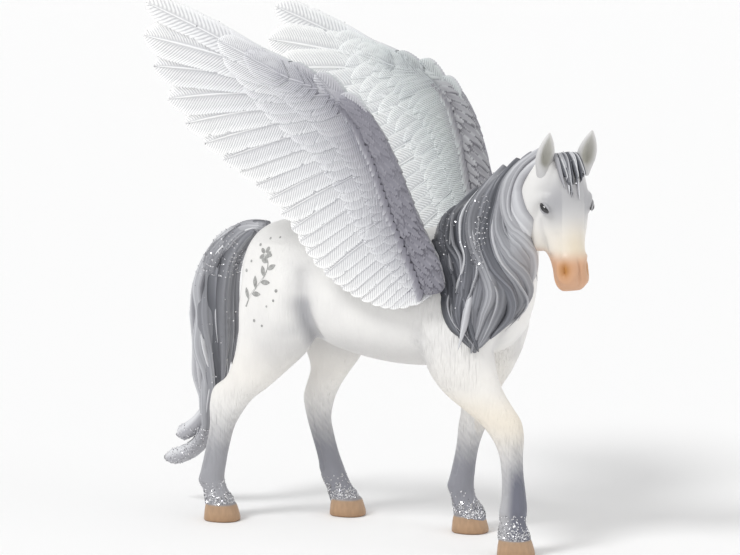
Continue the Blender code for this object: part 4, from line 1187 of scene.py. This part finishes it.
def make_vanes(name, wing, row, chance):
    """One row of the wing's feathers: flight feathers or coverts."""
    shape = Shape("ridge", "reach", "tone", "inner", "tip")
    reach, thick, crowd = FEATHER_ROWS[row]
    bare = (0.36, 0.24, 0.0)[row]
    pitch = (FLIGHT_BARB, COVERT_BARB, COVERT_BARB)[row]
    tips = smooth_rows(FLIGHT_TIPS, 8)
    count = round(len(FLIGHT_TIPS) * crowd)
    for k in range(count):
        order = k / (count - 1)
        share = order * (1 + BUNCHING * (1 - order))
        foot = Vector(arm_at(1 - 0.97 * share)[:2])
        tip = foot.lerp(Vector(tips[round(share * (len(tips) - 1))]), reach)
        room = (1 + BUNCHING * (1 - 2 * order)) / (1 + BUNCHING)
        width = (14.5 - (4.5 if k == 0 else 0)) * room / crowd ** 0.6
        barb = pitch * (1.5 if k == 0 and row == 0 else 1.0)
        add_feather(shape, wing, foot, tip, width, thick, bare, barb, reach, chance.uniform(-1, 1), chance,
                    0.26 * max(1 - order / 0.3, 0))
    if row == 2:
        for bx, bz, tx, tz in EDGE_FEATHERS:
            add_feather(shape, wing, (bx, bz), (tx, tz), 5.5, 1.8, 0.1, FLIGHT_BARB, 0.2,
                        chance.uniform(-1, 1), chance, 0.1)
    return shape.build(name, smooth=False)


def add_scale(shape, root, along, out, length, width, tone, reach, inner):
    """A small leaf-shaped feather that lies on the arm of the wing."""
    across = along.cross(out)
    rows = []
    for i in range(8):
        t = i / 7
        half = width / 2 * math.sqrt(max(1 - (max(t - 0.4, 0) / 0.61) ** 2, 0))
        half *= 0.7 + 0.3 * min(t / 0.4, 1)
        row = []
        for u in (-1.0, -0.55, 0.0, 0.55, 1.0):
            height = (0.15 + 0.5 * t - 0.3 * u * u) * MM + (0.08 * MM if u == 0 else 0)
            # ridge paints the scale lighter along its middle and towards the tip of its rim: painted
            # highlight
            row.append(shape.point(root + along * t * length + across * u * half + out * height,
                                   ridge=0.35 + 0.65 * t if abs(u) > 0.9 else 0.85 - 0.4 * abs(u),
                                   reach=reach + 0.26 * t ** 3, tone=tone, inner=inner, tip=t))
        rows.append(row)
    for near, far in zip(rows, rows[1:]):
        shape.bridge(near, far)
    rim = [r[0] for r in rows] + rows[-1][1:-1] + [r[-1] for r in reversed(rows)]
    # Its sunk edge, where it meets the arm, is painted dark: painted shade
    sunk = [shape.point(shape.points[i] - out * 0.5 * MM, ridge=0.0, reach=reach, tone=tone, inner=inner)
            for i in rim]
    shape.bridge(rim, sunk)


def arm_relief(along, turn, inner):
    """How high the combed feathers stand at a place along the arm and round it, and how near their rim."""
    length, lanes, lean = (6.6, 10, 0.34) if inner else (5.0, 13, 0.3)
    lane = turn * lanes + along * lean
    column = math.floor(lane)
    u = abs(2 * (lane - column) - 1)
    t = 1 - (along / length + 0.5 * (column % 2) + 0.17 * math.sin(column * 2.7)) % 1
    leaf = math.sqrt(max(1 - (max(t - 0.45, 0) / 0.56) ** 2, 0.0)) * (0.55 + 0.45 * min(t / 0.3, 1))
    if u > leaf:
        return 0.0, 0.0
    return (1 - 0.45 * (u / leaf) ** 2) * (0.3 + 0.7 * t), (u / leaf) ** 4


def add_combed_arm(shape, wing, points):
    """The rounded leading edge through these points and sizes, combed into long narrow feathers."""
    spots = [spot for spot, _ in points]
    last = len(points) - 1
    rings, travelled = [], 0.0
    for i, (spot, size) in enumerate(points):
        travelled += (spot - spots[max(i - 1, 0)]).length / MM
        across = step_along(spots, i).normalized().cross(wing.outward)
        radius = size * ARM_DIAMETER / 2 * min(0.72 + i * 0.045, 1.0, 0.72 + (last - i) * 0.045)
        paler = 0.2 * smoothly(52.0, 66.0, travelled)
        ring = []
        for k, (c, s) in enumerate(circle(72)):
            inner = c < 0
            relief, rim = arm_relief(travelled, k / 72, inner)
            strength = 0.8 if inner else 0.75 - 0.3 * smoothly(16.0, 34.0, travelled)
            out = wing.outward * c + across * s * ARM_FLATNESS
            # ridge and reach paint the combed feathers dark between them, painted shade, and light on their
            # raised middles and rims, painted highlight
            reach = strength * (0.06 * relief + 0.12 * rim) + 0.05 * (1 - strength) + paler
            ring.append(shape.point(spot + out * radius * (1 + 0.2 * strength * (relief - 0.6)),
                                    ridge=0.55 + strength * (0.6 * relief + 0.35 * rim - 0.5),
                                    inner=float(inner), tip=0.7, reach=reach))
        rings.append(ring)
    shape.walls(rings)
    shape.faces += [tuple(rings[0]), tuple(rings[-1])]


def add_arm_tips(shape, wing, points, chance):
    """Two rows of small feathers on each face, whose tips lie over the roots of the longer ones."""
    spots = [spot for spot, _ in points]
    for i in range(len(points) - 9, 8, -6):
        spot, size = points[i]
        tangent = step_along(spots, i).normalized()
        across = tangent.cross(wing.outward).normalized()
        if across.x > 0:
            across = -across
        radius = size * ARM_DIAMETER / 2
        for face in (1, -1):
            for lane, degrees in enumerate((30, 47)):
                angle = math.radians(degrees + chance.uniform(-5, 5))
                c, s = math.cos(angle), math.sin(angle)
                out = (wing.outward * face * c + across * s / ARM_FLATNESS).normalized()
                root = (spot + wing.outward * face * radius * c * 1.06
                        + across * radius * ARM_FLATNESS * s * 1.06)
                along = square_to(-tangent * 0.75 + across * 0.55, out)
                add_scale(shape, root, along, out, chance.uniform(3.8, 5.4) * MM * (0.6 + 0.4 * size),
                          chance.uniform(1.6, 2.3) * MM, chance.uniform(-1, 1), 0.03 + 0.04 * lane,
                          float(face < 0))


def add_root(shape, side):
    """The rounded root of the wing and the plug that goes into the shoulder."""
    foot = place(PLUG_PLACE[0], 0, PLUG_PLACE[1])
    centre = foot + Vector((0, side * (SHOULDER_FACE + ROOT_GAP + BOSS_DEPTH), 0))
    boss = make_mound(centre, straight_axes(WING_BOSS_DIAMETER / 2, BOSS_DEPTH, WING_BOSS_DIAMETER / 2))
    base = len(shape.points)
    for vertex in boss.data.vertices:
        shape.point(vertex.co.copy(), ridge=0.3, reach=0.15)
    for face in boss.data.polygons:
        shape.faces.append(tuple(base + v for v in face.vertices))
    bpy.data.objects.remove(boss, do_unlink=True)
    along, _, across = straight_axes(PLUG_DIAMETER / 2, 0, PLUG_DIAMETER / 2)
    plug = []
    for y in (SHOULDER_FACE - PLUG_DEPTH, WING_STAND_OFF):
        ring = oval(foot + Vector((0, side * y, 0)), along, across, points=40)
        plug.append([shape.point(p, ridge=0.3, reach=0.15) for p in ring])
    shape.walls(plug)
    shape.faces.append(tuple(plug[0]))


def make_arm(name, wing, chance):
    """The thick leading edge of the wing with its combed feathers, its root and its plug."""
    shape = Shape("ridge", "reach", "tone", "inner", "tip")
    points = [(wing.at(x, z), size) for x, z, size in smooth_rows(ARM, 26)]
    add_combed_arm(shape, wing, points)
    add_arm_tips(shape, wing, points, chance)
    add_root(shape, wing.side)
    return shape.build(name, smooth=False)


def scatter_flakes(name, spots, seed):
    """Glitter: tiny flat flakes that lie on the paint at slightly different tilts."""
    chance = random.Random(seed)
    shape = Shape("tone")
    for spot, normal in spots:
        tilt = Vector([chance.gauss(0, 0.28) for _ in range(3)])
        out = (normal + tilt).normalized()
        across = out.orthogonal().normalized()
        across.rotate(Matrix.Rotation(chance.uniform(0, 3.14), 3, out))
        up = out.cross(across)
        half = FLAKE_SIZE * chance.uniform(0.6, 1.25)
        centre = spot + normal * FLAKE_LIFT
        tone = chance.random()
        shape.faces.append(tuple(shape.point(centre + (across * c + up * s) * half, tone=tone)
                                 for c, s in circle(5)))
    return shape.build(name, smooth=False)


def chosen_points(obj, count, seed, weight):
    """count points of the mesh picked at random, the likelier the higher weight(point) is."""
    chance = random.Random(seed)
    vertices = obj.data.vertices
    picked, tries = [], 0
    while len(picked) < count and tries < 60 * count:
        tries += 1
        vertex = vertices[chance.randrange(len(vertices))]
        if chance.random() < weight(vertex.co):
            jog = Vector([chance.uniform(-1, 1) for _ in range(3)]) * FLAKE_JOG
            jog -= vertex.normal * jog.dot(vertex.normal)
            picked.append((vertex.co + jog, vertex.normal.copy()))
    return picked


# The generic print on the hip: a sprig of leaves with a small flower and dots. Stem: forward, up in mm
PRINT_MIDDLE = (-25.4, 67.6)
PRINT_SIZE = 1.12
STEM = [(-4.2, -6.4), (-2.6, -3.4), (-0.4, -0.8), (1.4, 1.8), (1.8, 4.4), (0.6, 6.6)]
LEAVES = [(0.12, 1, 3.0), (0.22, -1, 2.9), (0.34, 1, 3.1), (0.46, -1, 2.9), (0.58, 1, 2.8), (0.7, -1, 2.5),
          (0.82, 1, 2.2), (0.9, -1, 1.9)]
DOTS = [(-5.0, 2.2, 0.42), (-3.6, 4.6, 0.32), (5.2, -1.6, 0.42), (4.6, -4.0, 0.34), (2.6, -5.6, 0.28),
        (-1.6, 8.6, 0.36), (0.6, 10.2, 0.3), (3.2, 10.6, 0.24), (-1.0, -9.4, 0.4), (1.4, -10.4, 0.3)]


def print_outlines():
    """The outlines of the print as closed loops of forward, up in millimetres."""
    loops = []
    stem = [Vector(p) for p in smooth_rows(STEM, 6)]
    last = len(stem) - 1
    left, right = [], []
    for i, spot in enumerate(stem):
        side = left_of(step_along(stem, i).normalized()) * (0.22 - 0.12 * i / last)
        left.append(spot + side)
        right.append(spot - side)
    loops.append(left + right[::-1])
    for share, hand, length in LEAVES:
        i = round(share * last)
        run = step_along(stem, i).normalized()
        along = (run * 0.62 + left_of(run) * hand * 0.78).normalized()
        spine = [stem[i] + along * length * k / 10 for k in range(11)]
        spread = [left_of(along) * 0.62 * math.sin(math.pi * k / 10) ** 0.8 for k in range(11)]
        upper = [spot + half for spot, half in zip(spine, spread)]
        lower = [spot - half for spot, half in zip(spine[1:-1], spread[1:-1])]
        loops.append(upper + lower[::-1])
    flower = Vector((0.6, 6.6))
    for k in range(5):
        along = Vector((math.cos(1.2 + k * 2 * math.pi / 5), math.sin(1.2 + k * 2 * math.pi / 5)))
        centre = flower + along * 1.15
        loops.append([centre + along * 0.8 * c + left_of(along) * 0.5 * s for c, s in circle(16)])
    for x, z, radius in DOTS:
        loops.append([Vector((x + radius * c, z + radius * s)) for c, s in circle(12)])
    return loops


def make_print(tree):
    """The print, laid on the skin of both hips as a thin film."""
    shape = Shape("tone")
    for side in (-1, 1):
        for loop in print_outlines():
            ring = []
            for spot in loop:
                x, z = PRINT_MIDDLE[0] + spot.x * PRINT_SIZE, PRINT_MIDDLE[1] + spot.y * PRINT_SIZE
                start = place(x, 0, z) + Vector((0, side * 0.04, 0))
                hit, normal, _, _ = tree.ray_cast(start, Vector((0, -side, 0)))
                if hit is not None:
                    ring.append(shape.point(hit + normal * FILM_LIFT, tone=0.5))
            if len(ring) > 2:
                shape.faces.append(tuple(ring))
    return shape.build("hip_print", smooth=False)


# Materials

def four(colour):
    """A colour, or a grey given as one number, with its alpha."""
    return (*colour, 1.0) if isinstance(colour, tuple) else (colour, colour, colour, 1.0)


class Paint:
    """A material, built up a node at a time. Its colour is laid down first and then changed in layers."""

    def __init__(self, name, roughness, **sockets):
        self.material = bpy.data.materials.new(name)
        self.material.use_nodes = True
        self.tree = self.material.node_tree
        self.shader = self.tree.nodes["Principled BSDF"]
        self.shader.inputs["Roughness"].default_value = roughness
        for key, value in sockets.items():
            self.shader.inputs[key.replace("_", " ")].default_value = value

    def node(self, kind, output, **inputs):
        """The output of a new node whose inputs are numbers or the outputs of other nodes."""
        node = self.tree.nodes.new("ShaderNode" + kind)
        for key, value in inputs.items():
            socket = node.inputs[key.replace("_", " ")]
            if isinstance(value, bpy.types.NodeSocket):
                self.tree.links.new(value, socket)
            else:
                socket.default_value = value
        return node.outputs[output]

    def number(self, name):
        """The number that was kept under this name for each point of the piece."""
        output = self.node("Attribute", "Fac")
        output.node.attribute_name = name
        return output

    def ramp(self, source, *stops):
        """Colours along a scale from 0 to 1."""
        output = self.node("ValToRGB", "Color", Fac=source)
        band = output.node.color_ramp.elements
        while len(band) < len(stops):
            band.new(0.5)
        for element, (position, colour) in zip(band, stops):
            element.position = position
            element.color = four(colour)
        return output

    def mix(self, share, first, second, blend="MIX"):
        """first and second mixed by a share; each is an output or a colour."""
        node = self.tree.nodes.new("ShaderNodeMix")
        node.data_type = "RGBA"
        node.blend_type = blend
        sockets = {socket.identifier: socket for socket in node.inputs}
        for key, value in (("Factor_Float", share), ("A_Color", first), ("B_Color", second)):
            if isinstance(value, bpy.types.NodeSocket):
                self.tree.links.new(value, sockets[key])
            else:
                sockets[key].default_value = value if key == "Factor_Float" else four(value)
        return next(s for s in node.outputs if s.identifier == "Result_Color")

    def layer(self, name, colour):
        """Lays a colour over the paint, as thick as the number of this name says."""
        self.colour = self.mix(self.number(name), self.colour, colour)

    def shade(self, source, *stops):
        """Multiplies the paint by a ramp."""
        self.colour = self.mix(1.0, self.colour, self.ramp(source, *stops), "MULTIPLY")

    def noise(self, scale, detail=2.0, stretch=(1, 1, 1)):
        """A cloudy number over the object, finer where scale is higher, drawn out along axes by stretch."""
        spot = self.node("Mapping", "Vector", Vector=self.node("TexCoord", "Object"), Scale=stretch)
        return self.node("TexNoise", "Fac", Vector=spot, Scale=scale, Detail=detail)

    def finish(self, height=None, strength=1.0, distance=0.0001):
        """Wires the colour to the shader, and the height as a bump."""
        self.tree.links.new(self.colour, self.shader.inputs["Base Color"])
        if height is not None:
            normal = self.node("Bump", "Normal", Strength=strength, Distance=distance, Height=height)
            self.tree.links.new(normal, self.shader.inputs["Normal"])
        return self.material


def skin_paint():
    """Pearly white paint that fades to smoke grey, cream and peach, over fine carved hair; the same grey
    lays painted shade under the belly, in the folds of the body, under the jaw and along the cheekbones.
    """
    paint = Paint("skin_paint", 0.42, IOR=1.45)
    paint.colour = paint.mix(paint.number("cream"), WHITE, (0.84, 0.74, 0.58))
    # The grey is smoke-grey paint on the legs, ears, eyelids and round the eyes, and painted shade in the
    # folds, under the belly and jaw and along the cheekbones
    smoke = paint.ramp(paint.number("smoke"), (0.0, 0), (1.0, 1))
    paint.colour = paint.mix(smoke, paint.colour, (0.165, 0.17, 0.21))
    paint.layer("peach", (0.68, 0.4, 0.25))
    paint.layer("nostril", (0.48, 0.21, 0.05))
    paint.layer("inside", (0.27, 0.26, 0.19))
    paint.shade(paint.noise(160), (0.3, (0.95, 0.95, 0.955)), (0.7, 1))
    strokes = paint.node("Math", "Value")
    strokes.node.operation = "MULTIPLY"
    paint.tree.links.new(paint.noise(1700, 1.0, (1, 1, 0.13)), strokes.node.inputs[0])
    paint.tree.links.new(paint.number("fur"), strokes.node.inputs[1])
    return paint.finish(strokes, 1.0, 0.0007)


def hair_paint():
    """Slate grey brushed lighter on the strands, with painted shade in the hollows and under the locks and a
    painted sheen along their crowns.
    """
    paint = Paint("hair_paint", 0.36, IOR=1.45)
    paint.colour = paint.ramp(paint.number("ridge"), (0.0, (0.04, 0.042, 0.05)), (0.3, (0.095, 0.1, 0.115)),
                              (0.65, (0.185, 0.19, 0.215)), (1.0, (0.4, 0.41, 0.45)))
    paint.layer("pale", paint.ramp(paint.number("ridge"), (0.0, (0.2, 0.2, 0.225)), (0.4, (0.5, 0.5, 0.53)),
                                   (1.0, (0.84, 0.85, 0.87))))
    return paint.finish(paint.noise(2200, 1.0, (1, 1, 0.3)), 0.25)


def feather_paint():
    """Slate at the arm, paler along the feathers to white tips, greener inside; painted shade in the grooves
    and hollows and at the feet of the feathers, painted highlight on the crests and tips.
    """
    paint = Paint("feather_paint", 0.5, IOR=1.45)
    paint.colour = paint.ramp(
        paint.number("reach"), (0.0, (0.2, 0.195, 0.23)), (0.1, (0.36, 0.355, 0.4)),
        (0.18, (0.52, 0.52, 0.555)), (0.32, (0.68, 0.685, 0.71)), (0.5, (0.82, 0.825, 0.84)),
        (0.72, (0.92, 0.925, 0.93)), (1.0, (0.95, 0.95, 0.94)))
    paint.layer("inner", paint.ramp(
        paint.number("reach"), (0.0, (0.19, 0.185, 0.205)), (0.06, (0.42, 0.42, 0.44)),
        (0.15, (0.54, 0.57, 0.57)), (0.3, (0.69, 0.725, 0.725)), (0.5, (0.86, 0.88, 0.88)),
        (1.0, (0.94, 0.94, 0.93))))
    # Painted shade in the grooves between the barbs and the hollows of the arm, painted highlight on the
    # crests, shafts and rims
    paint.shade(paint.number("ridge"), (0.0, (0.68, 0.68, 0.7)), (0.6, 0.97), (1.0, 1.07))
    # Painted shade at the foot of each feather, where it lies under the next row, and a painted highlight at
    # its tip
    paint.shade(paint.number("tip"), (0.0, (0.88, 0.88, 0.9)), (0.45, 0.98), (0.85, 1), (1.0, 1.1))
    tone = paint.node("MapRange", "Result", From_Min=-1.0, Value=paint.number("tone"))
    paint.shade(tone, (0.0, (0.94, 0.94, 0.95)), (1.0, 1))
    return paint.finish(paint.noise(2600, 1.0), 0.2)


def hoof_paint():
    paint = Paint("hoof_paint", 0.42, IOR=1.45)
    paint.colour = paint.ramp(
        paint.number("height"), (0.0, (0.2, 0.115, 0.06)), (0.08, (0.42, 0.26, 0.15)),
        (0.5, (0.48, 0.31, 0.19)), (0.9, (0.45, 0.3, 0.19)), (1.0, (0.3, 0.29, 0.3)))
    paint.shade(paint.noise(700, 2.0, (1.6, 1.6, 0.5)), (0.3, 0.86), (0.7, 1))
    return paint.finish(paint.noise(900, 1.0, (1.6, 1.6, 0.4)), 0.3)


def eye_paint():
    paint = Paint("eye_paint", 0.06, IOR=1.5, Coat_Weight=1.0)
    paint.colour = paint.ramp(paint.noise(500), (0.3, (0.004, 0.004, 0.006)), (0.8, (0.012, 0.01, 0.012)))
    return paint.finish()


def glitter_paint():
    paint = Paint("glitter", 0.22, Metallic=1.0)
    paint.colour = paint.ramp(paint.number("tone"), (0.0, (0.2, 0.2, 0.22)), (0.35, (0.75, 0.75, 0.77)),
                              (1.0, (0.95, 0.95, 0.97)))
    return paint.finish()


def print_paint():
    paint = Paint("print_paint", 0.38, Metallic=0.35)
    paint.colour = paint.ramp(paint.noise(1500), (0.3, (0.3, 0.3, 0.29)), (0.7, (0.5, 0.5, 0.49)))
    return paint.finish()


def finish_piece(obj, material, slot, *nodes):
    obj.data.materials.clear()
    obj.data.materials.append(material)
    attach(obj, "root")
    if nodes:
        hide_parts(*nodes)


# Studio

# Rings of the floor from its middle out: radius and height in metres
FLOOR_RINGS = [(0.5, 0), (2.0, 0), (3.5, 0), (4.4, 0.04), (5.2, 0.2), (5.8, 0.55), (6.1, 1.1), (6.2, 1.7)]


def make_floor():
    """A wide pale floor that curves up far behind the figurine on every side."""
    shape = Shape()
    rows = [[shape.point(Vector((radius * c, radius * s, height))) for c, s in circle(96)]
            for radius, height in FLOOR_RINGS]
    shape.walls(rows[::-1])
    shape.faces.append(tuple(rows[0]))
    floor = shape.build("floor")
    floor.data.materials.append(Paint("floor", 0.8, Base_Color=(0.96, 0.96, 0.96, 1.0)).material)


def aimed_from(obj, azimuth, elevation):
    """Turns a camera or lamp to look from these angles, and returns the way back from where it looks."""
    level = math.cos(elevation)
    back = Vector((math.sin(azimuth) * level, -math.cos(azimuth) * level, math.sin(elevation)))
    obj.rotation_euler = (-back).to_track_quat("-Z", "Y").to_euler()
    return back


def make_camera():
    camera = bpy.data.cameras.new("camera")
    camera.lens, camera.sensor_width = 180, 36
    camera.clip_start, camera.clip_end = 0.05, 50
    obj = link(bpy.data.objects.new("camera", camera))
    obj.location = Vector(VIEW_TARGET) + aimed_from(obj, VIEW_AZIMUTH, VIEW_ELEVATION) * VIEW_DISTANCE
    bpy.context.scene.camera = obj


def make_sun(name, azimuth, elevation, softness, power):
    """A studio light so far off that it falls evenly on the floor."""
    light = bpy.data.lights.new(name, "SUN")
    light.angle = math.radians(softness)
    light.energy = power
    obj = link(bpy.data.objects.new(name, light))
    aimed_from(obj, math.radians(azimuth), math.radians(elevation))


def make_studio():
    world = bpy.data.worlds.new("studio")
    world.use_nodes = True
    background = world.node_tree.nodes["Background"]
    background.inputs["Color"].default_value = (1.0, 1.0, 1.0, 1.0)
    background.inputs["Strength"].default_value = 0.66
    bpy.context.scene.world = world
    bpy.context.scene.view_settings.view_transform = "Standard"
    make_sun("key", -25, 50, 18, 1.3)
    make_sun("fill", 95, 20, 30, 0.35)


def make_wings(plumage):
    """Both wings, of which the flight feathers stand for the solids. Returns the two sets of them."""
    flights = []
    for side, name in ((-1, "wing_right"), (1, "wing_left")):
        wing = WingSide(side)
        chance = random.Random(20 + side)
        for row, kind in enumerate(("flight", "middle", "short")):
            vanes = make_vanes(f"{name}_{kind}_feathers", wing, row, chance)
            finish_piece(vanes, plumage, "wing_paint", *([name] if row == 0 else []))
            flights += [vanes] if row == 0 else []
        finish_piece(make_arm(f"{name}_arm", wing, chance), plumage, "wing_paint")
    return flights


def gather_flakes(skin, mane, forelock, tail, flights):
    """Where the glitter lies: bands round the legs, the tail, and patches of the mane and the wings."""

    def on_bands(p):
        z = p.z / MM / TALL
        return float(4.4 < z < 11.5) * (1.0 if z < 8 + 1.2 * math.sin(p.x * 1900) else 0.12)

    def on_tail(p):
        return 0.95 * (p.z > 0.066 and p.x < -0.041 or p.z < 0.023) + 0.04

    flakes = chosen_points(skin, 4200, 1, on_bands)
    flakes += chosen_points(mane, 420, 2, lambda p: 0.8 * (p.z > 0.066) * (p.x < 0.041))
    flakes += chosen_points(mane, 1100, 8, lambda p: float(0.0365 < p.x < 0.041 and 0.076 < p.z < 0.095))
    flakes += chosen_points(mane, 420, 9, lambda p: float(p.x < 0.029 and 0.075 < p.z < 0.09))
    flakes += chosen_points(forelock, 150, 3, lambda p: 0.6)
    flakes += chosen_points(tail, 7500, 4, on_tail)
    for seed, vanes in zip((5, 8), flights):
        flakes += chosen_points(vanes, 420, seed, lambda p: float(p.x < -0.026))
    return flakes


def main():
    make_floor()
    make_camera()
    make_studio()
    head = HeadFrame()
    skin = make_skin(head)
    tree = BVHTree.FromObject(skin, bpy.context.evaluated_depsgraph_get())
    skin_material, hair_material = skin_paint(), hair_paint()
    glitter, plumage = glitter_paint(), feather_paint()
    finish_piece(skin, skin_material, "body_paint", "body")
    finish_piece(make_hooves(), hoof_paint(), "body_paint")
    finish_piece(make_ears(head), skin_material, "body_paint")
    finish_piece(make_eyes(head), eye_paint(), "body_paint")
    finish_piece(make_eyelids(head), skin_material, "body_paint")
    mane, forelock, tail = make_mane(drape_tree()), make_forelock(head), make_tail()
    for hair in (mane, forelock, tail):
        finish_piece(hair, hair_material, "body_paint")
    finish_piece(make_print(tree), print_paint(), "body_paint")
    flights = make_wings(plumage)
    flakes = gather_flakes(skin, mane, forelock, tail, flights)
    finish_piece(scatter_flakes("glitter", flakes, 12), glitter, "body_paint")


main()
